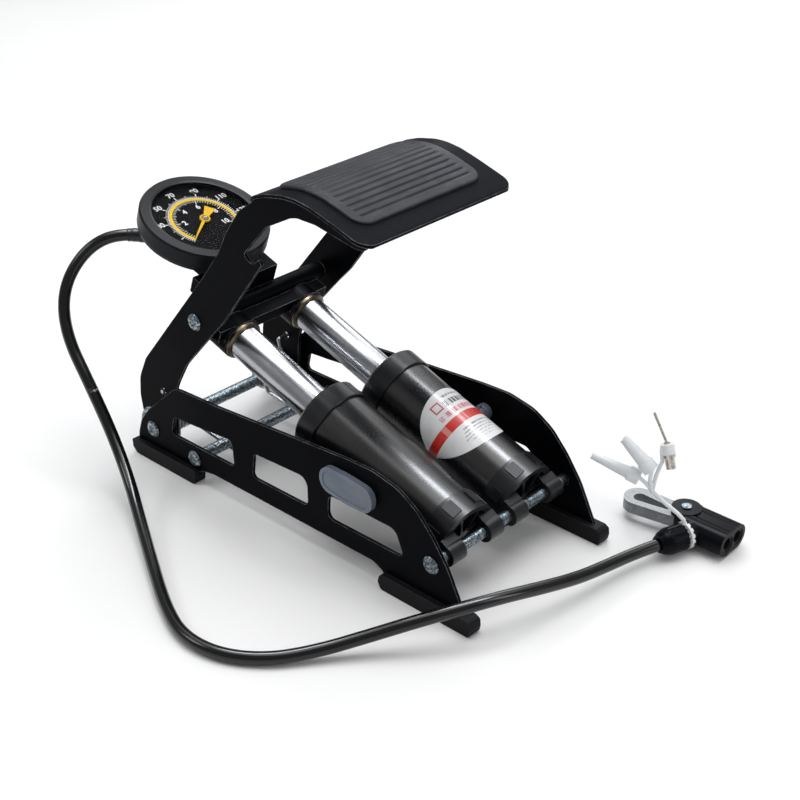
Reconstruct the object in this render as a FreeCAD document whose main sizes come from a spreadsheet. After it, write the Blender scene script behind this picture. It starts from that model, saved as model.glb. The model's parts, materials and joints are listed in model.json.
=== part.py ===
import FreeCAD, Part
import math
import os
import Sketcher

# Double-barrel foot air pump.
# Frame: millimetres, +Z up, Z = 0 on the floor under the rubber feet, Y = 0
# halfway between the two side plates, the left side of the pump at -Y, the
# barrels' pivot rod towards +X. The pump is laid out below with its rear pivot
# axle at X = 0; at the end every piece moves back by origin_x, so that the
# origin is under the middle of the pump (its hose and chuck left out).

V = FreeCAD.Vector
Rot = FreeCAD.Rotation
Pl = FreeCAD.Placement

os.makedirs("parts", exist_ok=True)
doc = FreeCAD.newDocument("foot_pump")

# ---------------------------------------------------------------- the sheet
sheet = doc.addObject("Spreadsheet::Sheet", "Sheet")
DIMS = [
    ("origin_x", 121.2), ("axle_z", 22.4), ("cross_x", 39.8), ("cross_z", 16.8),
    ("front_x", 237.4), ("front_z", 31.8), ("upper_x", 41.5), ("upper_z", 110.5),
    ("plate_outer", 60.5), ("plate_gauge", 2.0),
    ("arm_outer", 54.5), ("arm_gauge", 2.0),
    ("axle_rad", 4.0), ("cross_rad", 4.0), ("front_rad", 3.6), ("upper_rad", 3.0),
    ("head_rad", 5.5), ("head_thick", 1.8), ("hole_gap", 0.06),
    ("arm_hole", 9.0), ("washer_rad", 14.4), ("washer_outer_thick", 3.6),
    ("washer_inner_thick", 2.0), ("washer_wall_rad", 6.2),
    ("foot_width", 9.2), ("foot_height", 10.3), ("foot_y", 59.5),
    ("barrel_y", 27.5), ("barrel_drop", 3.0), ("barrel_rad", 22.0), ("barrel_bore", 20.2),
    ("barrel_start", 9.6), ("barrel_end", 118.0),
    ("collar_rad", 23.5), ("collar_start", 107.4), ("collar_end", 121.4), ("collar_hole", 11.4),
    ("bush_start", 103.0), ("bush_bore", 11.06),
    ("cap_rad", 23.0), ("cap_start", 5.6), ("cap_end", 20.4),
    ("lug_rad", 6.6), ("lug_out", 22.0), ("lug_in", 10.6), ("lug_hole", 3.66),
    ("tube_rad", 11.0), ("tube_bore", 9.6),
    ("tube_low", 92.0), ("pivot_drop", 13.0), ("ridge_rad", 5.6), ("ridge_half", 50.0),
    ("slab_half", 43.0), ("socket_rad", 13.6),
    ("piston_rad", 18.8), ("seal_rad", 19.8),
    ("gauge_a", -43.5), ("gauge_y", -17.0), ("gauge_base", 18.0), ("bezel_rad", 40.4),
    ("pedal_half", 61.0), ("pedal_gauge", 2.0), ("pad_half", 50.0), ("pad_thick", 2.8),
    ("hose_rad", 3.75), ("spring_wire", 1.25), ("spring_coil", 6.6),
    ("chuck_x", 303.0), ("chuck_z", 9.6), ("nut_rad", 8.2),
    ("lever_pin_x", 297.0), ("lever_pin_y", 102.0), ("lever_pin_rad", 1.8),
]
for i, (name, value) in enumerate(DIMS):
    sheet.set("A%d" % (i + 1), name)
    sheet.set("B%d" % (i + 1), repr(value))
    sheet.setAlias("B%d" % (i + 1), name)
doc.recompute()


def v(name):
    return float(sheet.get(name))


NODES = []


def keep(obj, label):
    obj.Label = label
    NODES.append(obj)
    return obj


def plane(body, role):
    for o in body.Origin.OriginFeatures:
        if o.Role == role:
            return o
    raise ValueError(role)


def new_sketch(body, role, name):
    sk = body.newObject("Sketcher::SketchObject", name)
    sk.AttachmentSupport = [(plane(body, role), "")]
    sk.MapMode = "FlatFace"
    return sk


def lines(sk, pts, closed=True):
    """Polygon of straight edges; a coordinate given as text is bound to the sheet."""
    num = []
    for p in pts:
        num.append(tuple(eval_num(c) for c in p))
    n = len(num)
    first = sk.GeometryCount
    for i in range(n if closed else n - 1):
        a, b = num[i], num[(i + 1) % n]
        sk.addGeometry(Part.LineSegment(V(a[0], a[1], 0), V(b[0], b[1], 0)), False)
    for i in range(n):
        sk.addConstraint(Sketcher.Constraint("Coincident", first + i, 2, first + (i + 1) % n, 1))
    for i, p in enumerate(pts):
        for kind, c, val in (("DistanceX", p[0], num[i][0]), ("DistanceY", p[1], num[i][1])):
            if isinstance(c, str) and abs(val) > 1e-9:
                k = sk.addConstraint(Sketcher.Constraint(kind, -1, 1, first + i, 1, val))
                sk.setExpression("Constraints[%d]" % k, expr(c))


def tokens(c):
    out, word = [], ""
    for ch in c + " ":
        if ch.isalnum() or ch in "_.":
            word += ch
        else:
            if word:
                out.append(word)
            word = ""
            if ch in "+-":
                out.append(ch)
    return out


def eval_num(c):
    """Value of a number, or of a text such as 'cap_rad - 1.5'."""
    if not isinstance(c, str):
        return float(c)
    total, sign = 0.0, 1.0
    for tk in tokens(c):
        if tk == "+":
            sign = 1.0
        elif tk == "-":
            sign = -1.0
        else:
            total += sign * (float(tk) if tk[0].isdigit() else v(tk))
            sign = 1.0
    return total


def expr(c):
    out = []
    for tk in tokens(c):
        if tk in "+-":
            out.append(tk)
        elif tk[0].isdigit():
            out.append(tk + " mm")
        else:
            out.append("Sheet." + tk + " * 1 mm")
    return " ".join(out)


def turned(label, profile, place, extra=None):
    """Body of revolution about its own Y axis; profile is (radius, along)."""
    body = doc.addObject("PartDesign::Body", label)
    sk = new_sketch(body, "XY_Plane", label + "_profile")
    lines(sk, profile)
    rev = body.newObject("PartDesign::Revolution", label + "_turn")
    rev.Profile = sk
    rev.ReferenceAxis = (sk, ["V_Axis"])
    rev.Angle = 360.0
    body.Tip = rev
    body.Placement = place
    return keep(body, label)


def rounded(pts):
    """Edges of a closed polygon whose corners (x, z, radius) are rounded."""
    n = len(pts)
    cut = []
    for i in range(n):
        x, z, r = pts[i]
        p = V(x, z, 0)
        a = V(pts[i - 1][0], pts[i - 1][1], 0)
        b = V(pts[(i + 1) % n][0], pts[(i + 1) % n][1], 0)
        if r <= 0:
            cut.append((p, p, None))
            continue
        d1 = (a - p).normalize()
        d2 = (b - p).normalize()
        ang = d1.getAngle(d2)
        k = r / math.tan(ang / 2)
        k = min(k, 0.49 * (a - p).Length, 0.49 * (b - p).Length)
        rr = k * math.tan(ang / 2)
        bis = (d1 + d2)
        if bis.Length < 1e-6 or ang > math.radians(179):
            cut.append((p, p, None))
            continue
        bis.normalize()
        c = p + bis * (rr / math.sin(ang / 2))
        cut.append((p + d1 * k, p + d2 * k, c - bis * rr))
    out = []
    for i in range(n):
        s, e, m = cut[i]
        if m is not None:
            out.append(Part.Arc(s, m, e))
        nx = cut[(i + 1) % n][0]
        if (nx - e).Length > 1e-5:
            out.append(Part.LineSegment(e, nx))
    return out


def wire_xz(pts, y=0.0):
    """Rounded polygon as a wire in a plane of constant Y."""
    es = []
    for g in rounded(pts):
        e = g.toShape()
        es.append(e)
    w = Part.Wire(Part.__sortEdges__(es))
    w.rotate(V(0, 0, 0), V(1, 0, 0), 90)
    w.translate(V(0, y, 0))
    return w


def slab_xz(pts, y0, y1):
    f = Part.Face(wire_xz(pts, y0))
    return f.extrude(V(0, y1 - y0, 0))


def add_profile(sk, pts):
    for g in rounded(pts):
        sk.addGeometry(g, False)


def box(x0, x1, y0, y1, z0, z1):
    return Part.makeBox(x1 - x0, y1 - y0, z1 - z0, V(x0, y0, z0))


def cyl(r, a, b):
    a, b = V(*a), V(*b)
    return Part.makeCylinder(r, (b - a).Length, a, b - a)


def cone(r0, r1, a, b):
    a, b = V(*a), V(*b)
    return Part.makeCone(r0, r1, (b - a).Length, a, b - a)


def rod_along(pts, r):
    """Round bar through the points: cylinders with balls at the joints."""
    s = None
    for a, b in zip(pts[:-1], pts[1:]):
        c = cyl(r, a, b)
        s = c if s is None else s.fuse(c)
    for p in pts[1:-1]:
        s = s.fuse(Part.makeSphere(r, V(*p)))
    return s.removeSplitter()


def feature(label, shape, place=None):
    o = doc.addObject("Part::Feature", label)
    o.Shape = shape
    if place is not None:
        o.Placement = place
    return keep(o, label)


# --------------------------------------------------------- axes and frames
A = V(0, 0, v("axle_z"))
C = V(v("front_x"), 0, v("front_z"))
D = V(v("upper_x"), 0, v("upper_z"))
CD = D - C
GAMMA = math.atan2(CD.z, -CD.x)
DELTA = math.asin((v("pivot_drop") - v("barrel_drop")) / CD.Length)
TILT = GAMMA - DELTA
U = V(-math.cos(TILT), 0, math.sin(TILT))      # up the barrels, towards the manifold
N = V(math.sin(TILT), 0, math.cos(TILT))       # square to the barrels, upwards
S_D = CD.dot(U)                                # the upper pivot's distance along the barrels
print("barrel tilt %.4f deg, pivot at %.3f mm along the barrels" % (math.degrees(TILT), S_D))


def bframe(y):
    """Placement whose Y axis runs up a barrel's centre line from the rod's level."""
    base = C - N * v("barrel_drop") + V(0, y, 0)
    z = N.cross(U)
    return Pl(FreeCAD.Matrix(N.x, U.x, z.x, base.x, N.y, U.y, z.y, base.y, N.z, U.z, z.z, base.z, 0, 0, 0, 1))


def mpt(a, b, y):
    """Point in the manifold's frame: a towards the barrels, b square to them."""
    p = D - U * a + N * b
    return V(p.x, y, p.z)


def mframe(a, b, y):
    """Placement whose Z axis is square to the barrels and X runs down them."""
    p = mpt(a, b, y)
    x = U * -1
    m = FreeCAD.Matrix(x.x, 0, N.x, p.x, x.y, 1, N.y, p.y, x.z, 0, N.z, p.z, 0, 0, 0, 1)
    return Pl(m)


# ------------------------------------------------------------- side plates
PLATE = [(-16.5, 4.2, 2), (-15.5, 14.0, 1.5), (-12.0, 24.5, 12), (-3.5, 35.5, 12), (24.5, 60.8, 9), (30, 61.6, 8),
         (64, 63.4, 30), (97, 66.2, 30), (133, 69.2, 30), (172, 72.4, 30), (193, 73.2, 26),
         (212, 69.6, 26), (226, 61.5, 30), (238, 49.0, 30), (249, 34.0, 30), (260, 12.5, 12),
         (263.5, 4.2, 1.5), (203, 4.2, 1.5), (201.2, 10.0, 2.5), (194, 13.4, 9), (160, 13.2, 40),
         (100, 12.8, 40), (58, 12.4, 6), (47.5, 10.6, 4), (43.2, 8.6, 1.5), (41.4, 4.2, 1.2)]
WIN1 = [(18.6, 26.2, 3.0), (77.5, 26.6, 3.2), (76.2, 44.8, 3.5), (40, 41.0, 30), (21.8, 39.6, 3.0)]
WIN2 = [(93.6, 26.2, 3.0), (141.5, 26.8, 4.0), (141.2, 46.2, 6.5), (96.0, 43.8, 3.5)]
WIN3 = [(157.8, 26.0, 4.5), (217.5, 26.6, 3.0), (210.6, 42.6, 6.5), (158.6, 42.4, 4.5)]
BADGE = (175.8, 54.6)


def side_plate(label, y):
    body = doc.addObject("PartDesign::Body", label)
    sk = new_sketch(body, "XZ_Plane", label + "_outline")
    add_profile(sk, PLATE)
    pad = body.newObject("PartDesign::Pad", label + "_sheet")
    pad.Profile = sk
    pad.setExpression("Length", "Sheet.plate_gauge * 1 mm")
    doc.recompute()
    full = pad.Shape.Volume
    sk2 = new_sketch(body, "XZ_Plane", label + "_openings")
    for w in (WIN1, WIN2, WIN3):
        add_profile(sk2, w)
    gap = v("hole_gap")
    for x, z, r in ((0.0, v("axle_z"), v("axle_rad")), (v("cross_x"), v("cross_z"), v("cross_rad")),
                    (v("front_x"), v("front_z"), v("front_rad")), (BADGE[0], BADGE[1], 4.2)):
        sk2.addGeometry(Part.Circle(V(x, z, 0), V(0, 0, 1), r + gap), False)
    cut = body.newObject("PartDesign::Pocket", label + "_cut")
    cut.Profile = sk2
    cut.Type = 1
    cut.Midplane = True
    doc.recompute()
    if not (0.5 * full < cut.Shape.Volume < 0.98 * full):
        raise RuntimeError(label + ": the openings did not cut")
    body.Tip = cut
    body.Placement = Pl(V(0, y, 0), Rot())
    return keep(body, label)


side_plate("left_side_plate", -(v("plate_outer") - v("plate_gauge")))
side_plate("right_side_plate", v("plate_outer"))

# ------------------------------------------------------------- cross rods
PO = v("plate_outer")


def riveted_rod(label, rad, half, x, z):
    """Rod with a shouldered, dished rivet head at each end."""
    hr, ht = "head_rad", v("head_thick")
    e = half + ht
    prof = [(0, -e + 0.9), (1.6, -e + 0.7), (2.6, -e), (4.4, -e + 0.35), (hr, -half - 0.5), (hr, -half), (rad, -half),
            (rad, half), (hr, half), (hr, half + 0.5), (4.4, e - 0.35), (2.6, e), (1.6, e - 0.7), (0, e - 0.9)]
    return turned(label, prof, Pl(V(x, 0, z), Rot()))


riveted_rod("rear_pivot_axle", "axle_rad", PO, 0, v("axle_z"))
riveted_rod("rear_cross_rod", "cross_rad", PO, v("cross_x"), v("cross_z"))
riveted_rod("front_pivot_rod", "front_rad", PO, v("front_x"), v("front_z"))
riveted_rod("upper_pivot_rod", "upper_rad", v("arm_outer"), v("upper_x"), v("upper_z"))


def ring_y(r0, r1, y0, y1, x, z):
    return cyl(r1, (x, y0, z), (x, y1, z)).cut(cyl(r0, (x, y0 - 1, z), (x, y1 + 1, z)))


PI = PO - v("plate_gauge")
AO, AI = v("arm_outer"), v("arm_outer") - v("arm_gauge")
az = v("axle_z")
wr = v("washer_rad")
ws = []
for sgn in (-1, 1):
    a0, a1 = sorted((sgn * PI, sgn * (PI - v("washer_outer_thick"))))
    ws.append(ring_y(v("axle_rad"), wr, a0, a1, 0, az))
    b0, b1 = sorted((sgn * (AI - 0.4), sgn * (AI - 0.4 - v("washer_inner_thick"))))
    ws.append(ring_y(v("axle_rad"), wr, b0, b1, 0, az))
# a flat on each one's lower edge clears the rubber foot
flat = box(-30, 30, -80, 80, -10, 10.6)
ws = [w.cut(flat) for w in ws]
feature("axle_washers", Part.makeCompound(ws))


# ------------------------------------------------------------ rubber feet
FH = v("foot_height")


def foot(label, y, pts, slot):
    body = doc.addObject("PartDesign::Body", label)
    sk = new_sketch(body, "XZ_Plane", label + "_side")
    add_profile(sk, pts)
    pad = body.newObject("PartDesign::Pad", label + "_block")
    pad.Profile = sk
    pad.setExpression("Length", "Sheet.foot_width * 1 mm")
    pad.Midplane = True
    doc.recompute()
    full = pad.Shape.Volume
    sk2 = new_sketch(body, "XZ_Plane", label + "_slot_line")
    add_profile(sk2, slot)
    cut = body.newObject("PartDesign::Pocket", label + "_slot")
    cut.Profile = sk2
    cut.setExpression("Length", "Sheet.plate_gauge * 1 mm")
    cut.Midplane = True
    doc.recompute()
    body.Tip = cut
    if cut.Shape.Volume > full - 10:
        raise RuntimeError(label + ": the slot did not cut")
    body.Placement = Pl(V(0, y, 0), Rot())
    return keep(body, label)


# the side plate's lower corner sits in a slot as wide as the sheet
FRONT = [(200.4, 4.4, 3.4), (203.0, 0.0, 3.0), (268.0, 0.0, 1.6), (268.9, 4.5, 4.0), (268.4, FH - 1.6, 1.6),
         (265.5, FH, 2), (202.0, FH + 0.1, 3.4)]
REAR = [(-18.9, FH - 0.6, 1.6), (-18.6, 3.4, 3.0), (-14.5, 0.0, 3.5), (41.6, 0.0, 1.2), (43.4, FH, 1.2)]
SLOT_F = [(202.6, 4.0, 0), (263.9, 4.0, 0), (257.2, 20.0, 0), (190.0, 20.0, 0)]
SLOT_R = [(-16.9, 4.0, 0), (41.8, 4.0, 0), (52.0, 20.0, 0), (-14.6, 20.0, 0)]
for side, sg in (("left", -1), ("right", 1)):
    foot(side + "_front_foot", sg * v("foot_y"), FRONT, SLOT_F)
    foot(side + "_rear_foot", sg * v("foot_y"), REAR, SLOT_R)

# -------------------------------------------------------- badges (oval plugs)


def badge(label, s):
    bx, bz = BADGE
    hl, hh = 20.4, 8.2
    tilt = math.radians(-3.0)

    def at(dx, dz):
        return (bx + dx * math.cos(tilt) - dz * math.sin(tilt), bz + dx * math.sin(tilt) + dz * math.cos(tilt))
    outer = [at(-hl, -hh * 0.92) + (8.0,), at(0, -hh - 0.9) + (60,), at(hl, -hh * 0.92) + (8.0,),
             at(hl, hh) + (8.0,), at(0, hh + 1.1) + (60,), at(-hl, hh) + (8.0,)]
    k = 0.86
    inner = [at(-hl * 0.90, -hh * 0.92 * k * 0.9) + (6.2,), at(0, (-hh - 0.9) * 0.80) + (60,), at(hl * 0.90, -hh * 0.92 * k * 0.9) + (6.2,),
             at(hl * 0.90, hh * 0.8) + (6.2,), at(0, (hh + 1.1) * 0.80) + (60,), at(-hl * 0.90, hh * 0.8) + (6.2,)]
    y0, y1 = s * PO, s * (PO + 3.8)
    b = slab_xz(outer, min(y0, y1), max(y0, y1))
    y2 = s * (PO + 3.2)
    b = b.cut(slab_xz(inner, min(y2, s * (PO + 6)), max(y2, s * (PO + 6))))
    stud = cyl(4.2, (bx, s * PO, bz), (bx, s * (PI - 7.0), bz))
    head = cyl(5.4, (bx, s * PI, bz), (bx, s * (PI - 4.5), bz)).cut(cyl(4.2, (bx, s * PI, bz), (bx, s * (PI - 4.5), bz)))
    b = b.fuse(stud).fuse(head)
    b = b.cut(box(bx - 0.7, bx + 0.7, min(s * PI - s * 3, s * (PI - 8)), max(s * PI - s * 3, s * (PI - 8)), bz - 6, bz + 6))
    b = b.removeSplitter()
    return feature(label, b if len(b.Solids) == 1 else max(b.Solids, key=lambda q: q.Volume))


badge("left_badge", -1)
badge("right_badge", 1)

# -------------------------------------------------------- torsion springs
SW, SR = v("spring_wire"), v("spring_coil")


def spring(label, s):
    """Wire coil round the axle, one leg under the cross rod, one into the arm's hole."""
    turns, pitch = 5.0, 2 * SW + 0.35
    y_out = s * (AI - 0.4 - v("washer_inner_thick") - 1.6)
    hx = Part.makeHelix(pitch, turns * pitch, SR)
    # helix along +Z; turn it along Y
    prof = Part.Wire(Part.makeCircle(SW, V(SR, 0, 0), V(0, 1, 0)))
    coil = Part.Wire(hx).makePipeShell([prof], True, True)
    coil.Placement = Pl(V(0, y_out, az), Rot(V(1, 0, 0), 90))
    bb = coil.BoundBox
    # move it inwards from the washer
    if s < 0:
        coil.translate(V(0, y_out - bb.YMin + 0.2, 0))
    else:
        coil.translate(V(0, y_out - bb.YMax - 0.2, 0))
    bb = coil.BoundBox
    ya = bb.YMin + SW + 0.1 if s < 0 else bb.YMax - SW - 0.1
    yb = bb.YMax - SW - 0.1 if s < 0 else bb.YMin + SW + 0.1
    up = rod_along([(SR, ya, az), (SR + 3.5, ya, az + 14), (5.6, ya, 49.6), (5.6, s * (AO + 1.4), 49.6)], SW)
    low = rod_along([(SR, yb, az), (SR + 2.4, yb, az - 6.5), (v("cross_x") + 4, yb, v("cross_z") - v("cross_rad") - SW - 0.1)], SW)
    return feature(label, Part.makeCompound([coil.fuse(up).fuse(low)]))


# ----------------------------------------------------------- lever arms
ARM = [(-15.0, 14.0, 10), (-18.6, 38.5, 16), (-17.4, 52.0, 22), (-9.6, 68.0, 18), (12.3, 94.8, 60),
       (49.3, 140.0, 60), (66.0, 161.5, 20), (74.8, 178.0, 14), (86.5, 194.5, 16), (98.8, 203.55, 4),
       (106, 208.3, 14), (116, 211.9, 30), (130.0, 214.6, 30), (146, 214.05, 30), (160, 210.85, 40), (183.5, 203.7, 2.0), (184.0, 199.0, 2.0),
       (176, 198.4, 8), (147.0, 203.2, 8), (144.5, 203.2, 3), (133.0, 203.1, 6), (128.0, 201.6, 6), (108.4, 190.8, 5.0),
       (90.4, 171.0, 3.0), (89.2, 168.6, 1.5), (93.0, 165.4, 1.2), (96.6, 165.2, 0.8), (101.6, 169.8, 1.0), (103.2, 166.4, 1.0),
       (66.8, 117.5, 40), (55.0, 105.0, 30), (30.6, 77.5, 30), (17.6, 55.0, 40), (15.5, 22.0, 14), (7, 6.5, 12), (-8, 6.0, 12)]
NA = 8.2


def arm(label, y):
    body = doc.addObject("PartDesign::Body", label)
    sk = new_sketch(body, "XZ_Plane", label + "_outline")
    add_profile(sk, ARM)
    pad = body.newObject("PartDesign::Pad", label + "_sheet")
    pad.Profile = sk
    pad.setExpression("Length", "Sheet.arm_gauge * 1 mm")
    doc.recompute()
    full = pad.Shape.Volume
    sk2 = new_sketch(body, "XZ_Plane", label + "_holes")
    sk2.addGeometry(Part.Circle(V(0, az, 0), V(0, 0, 1), v("arm_hole")), False)
    k = sk2.addConstraint(Sketcher.Constraint("Radius", 0, v("arm_hole")))
    sk2.setExpression("Constraints[%d]" % k, "Sheet.arm_hole * 1 mm")
    sk2.addGeometry(Part.Circle(V(v("upper_x"), v("upper_z"), 0), V(0, 0, 1), v("upper_rad") + v("hole_gap")), False)
    sk2.addGeometry(Part.Circle(V(5.6, 49.6, 0), V(0, 0, 1), 2.4), False)
    cut = body.newObject("PartDesign::Pocket", label + "_cut")
    cut.Profile = sk2
    cut.Type = 1
    cut.Midplane = True
    doc.recompute()
    if not (0.5 * full < cut.Shape.Volume < full - 100):
        raise RuntimeError(label + ": the holes did not cut")
    body.Tip = cut
    body.Placement = Pl(V(0, y, 0), Rot())
    return keep(body, label)


arm("left_lever_arm", -AI)
arm("right_lever_arm", AO)
spring("left_return_spring", -1)
spring("right_return_spring", 1)

# ------------------------------------------------------- pedal and its pad
TOP = [(98.6, 205.5), (106.0, 210.6), (116.0, 214.2), (129.0, 216.9), (138.0, 217.3), (148.0, 216.2), (160.0, 213.2),
       (175.0, 208.8), (187.5, 204.9), (189.8, 204.0)]
PH = v("pedal_half")


def under(top, thick):
    """The points of a bent sheet's lower face, from those of its top."""
    n = len(top)
    low = []
    for i, (x, z) in enumerate(top):
        a = top[max(i - 1, 0)]
        b = top[min(i + 1, n - 1)]
        dx, dz = b[0] - a[0], b[1] - a[1]
        L = math.hypot(dx, dz)
        low.append((x + dz / L * thick, z - dx / L * thick))
    return low


BEND = [1.0, 14, 30, 30, 30, 30, 60, 60, 4, 0.6]


def bent_sheet(label, top, low, width, x0, x1, corner):
    """Sheet bent along its length, padded across, its outline trimmed from above."""
    body = doc.addObject("PartDesign::Body", label)
    sk = new_sketch(body, "XZ_Plane", label + "_profile")
    prof = [(x, z, r) for (x, z), r in zip(top, BEND)] + [(x, z, max(r - 2, 0.5)) for (x, z), r in reversed(list(zip(low, BEND)))]
    add_profile(sk, prof)
    pad = body.newObject("PartDesign::Pad", label + "_sheet")
    pad.Profile = sk
    pad.setExpression("Length", "Sheet.%s * 2 mm + 4 mm" % width)
    pad.Midplane = True
    doc.recompute()
    full = pad.Shape.Volume
    half = v(width)
    sk2 = new_sketch(body, "XY_Plane", label + "_outline")
    add_profile(sk2, [(x0, -half, corner), (x1, -half, corner), (x1, half, corner), (x0, half, corner)])
    add_profile(sk2, [(60, -90, 0), (230, -90, 0), (230, 90, 0), (60, 90, 0)])
    cut = body.newObject("PartDesign::Pocket", label + "_trim")
    cut.Profile = sk2
    cut.Type = 1
    cut.Midplane = True
    doc.recompute()
    if not (0.6 * full < cut.Shape.Volume < full - 50):
        raise RuntimeError(label + ": the outline did not cut")
    body.Tip = cut
    return keep(body, label)


bent_sheet("pedal_plate", TOP, under(TOP, v("pedal_gauge")), "pedal_half", 98.2, 189.4, 9.5)
bent_sheet("pedal_pad", under(TOP, -v("pad_thick")), TOP, "pad_half", 110.0, 176.8, 10.0)

# ------------------------------------------------- manifold (cross-beam)
BY = v("barrel_y")
PD = v("pivot_drop")


def mbox(a0, a1, b0, b1, y0, y1):
    s = box(a0, a1, y0, y1, b0, b1)
    s.Placement = mframe(0, 0, 0)
    return s


RH, SH = v("ridge_half"), v("slab_half")
block = cyl(v("ridge_rad"), (D.x, -RH, D.z), (D.x, RH, D.z))
block = block.fuse(mbox(-7.5, 14.5, -9.0, -1.0, -SH - 3, SH))
block = block.fuse(mbox(-12.0, -2.4, -9.0, 8.0, -44.5, 11.0))
block = block.fuse(mbox(-58.0, -14.0, 7.0, 17.8, -30.0, 6.0)).fuse(mbox(-18.0, -2.4, 7.0, 17.8, -44.5, 11.0))
for y in (-BY, BY):
    block = block.fuse(cyl(v("socket_rad"), tuple(mpt(-6.0, -PD, y)), tuple(mpt(16.0, -PD, y))))
    block = block.fuse(mbox(-6.0, 14.5, -PD, -5.0, y - v("socket_rad"), y + v("socket_rad")))
for y in (-BY, BY):
    block = block.cut(cyl(v("tube_rad"), tuple(mpt(4.0, -PD, y)), tuple(mpt(17.0, -PD, y))))
    # air way from the tube up into the beam
    block = block.cut(cyl(3.0, tuple(mpt(-3.5, -PD, y)), tuple(mpt(5.0, -PD, y))))
    block = block.cut(cyl(1.6, tuple(mpt(-2.0, -PD, y)), tuple(mpt(-2.0, -7.2, y))))
block = block.cut(cyl(1.6, tuple(mpt(-2.0, -7.2, -BY - 4)), tuple(mpt(-2.0, -7.2, BY + 4))))
block = block.cut(cyl(v("upper_rad") + v("hole_gap"), (D.x, -RH - 1, D.z), (D.x, RH + 1, D.z)))
# hose port and gauge port in the platform
HOSE_DIR = V(-0.745, -0.64, 0.19).normalize()
PORT = mpt(-52.0, 12.0, -21.0)
block = block.cut(cyl(2.2, tuple(PORT), tuple(PORT + HOSE_DIR * 22)))
block = block.cut(cyl(2.6, tuple(mpt(v("gauge_a"), 11.0, v("gauge_y"))), tuple(mpt(v("gauge_a"), 18.0, v("gauge_y")))))
block = block.removeSplitter()
feature("manifold_block", block if len(block.Solids) == 1 else max(block.Solids, key=lambda q: q.Volume))

cl = []
for y in (-BY, BY):
    c = cyl(13.0, tuple(mpt(16.0, -PD, y)), tuple(mpt(18.0, -PD, y))).fuse(cone(13.0, 12.0, tuple(mpt(18.0, -PD, y)), tuple(mpt(19.0, -PD, y))))
    cl.append(c.cut(cyl(v("tube_rad"), tuple(mpt(15.0, -PD, y)), tuple(mpt(20.0, -PD, y)))))
feature("tube_collars", Part.makeCompound(cl))

# ------------------------------------------- piston tubes, pistons, seals
S_TOP = S_D - 4.2            # the tube's upper end, inside the manifold
for side, y in (("left", -BY), ("right", BY)):
    fr = bframe(y)
    lo = v("tube_low")
    turned(side + "_piston_tube", [("tube_bore", "tube_low"), ("tube_rad", "tube_low"), ("tube_rad", S_TOP), ("tube_bore", S_TOP)], fr)
    pr = "piston_rad"
    turned(side + "_piston", [(3.0, lo - 8.0), (pr, lo - 8.0), (pr, lo - 5.4), (16.6, lo - 5.4), (16.6, lo - 2.6), (pr, lo - 2.6), (pr, lo),
                              ("tube_bore", lo), ("tube_bore", lo + 10.0), (7.0, lo + 10.0), (7.0, lo + 2.0), (3.0, lo + 2.0)], fr)
seals = []
for y in (-BY, BY):
    s0 = v("tube_low") - 5.3
    r = cyl(v("seal_rad"), (0, 0, 0), (0, 2.6, 0)).cut(cyl(16.6, (0, -1, 0), (0, 4, 0)))
    r.translate(V(0, s0, 0))
    r.Placement = bframe(y).multiply(r.Placement)
    seals.append(r)
feature("piston_seals", Part.makeCompound(seals))
balls = []
for y in (-BY, BY):
    b = Part.makeSphere(1.7, V(0, S_D + 1.6, 0))
    b.Placement = bframe(y).multiply(b.Placement)
    balls.append(b)
feature("check_valve_balls", Part.makeCompound(balls))

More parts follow.
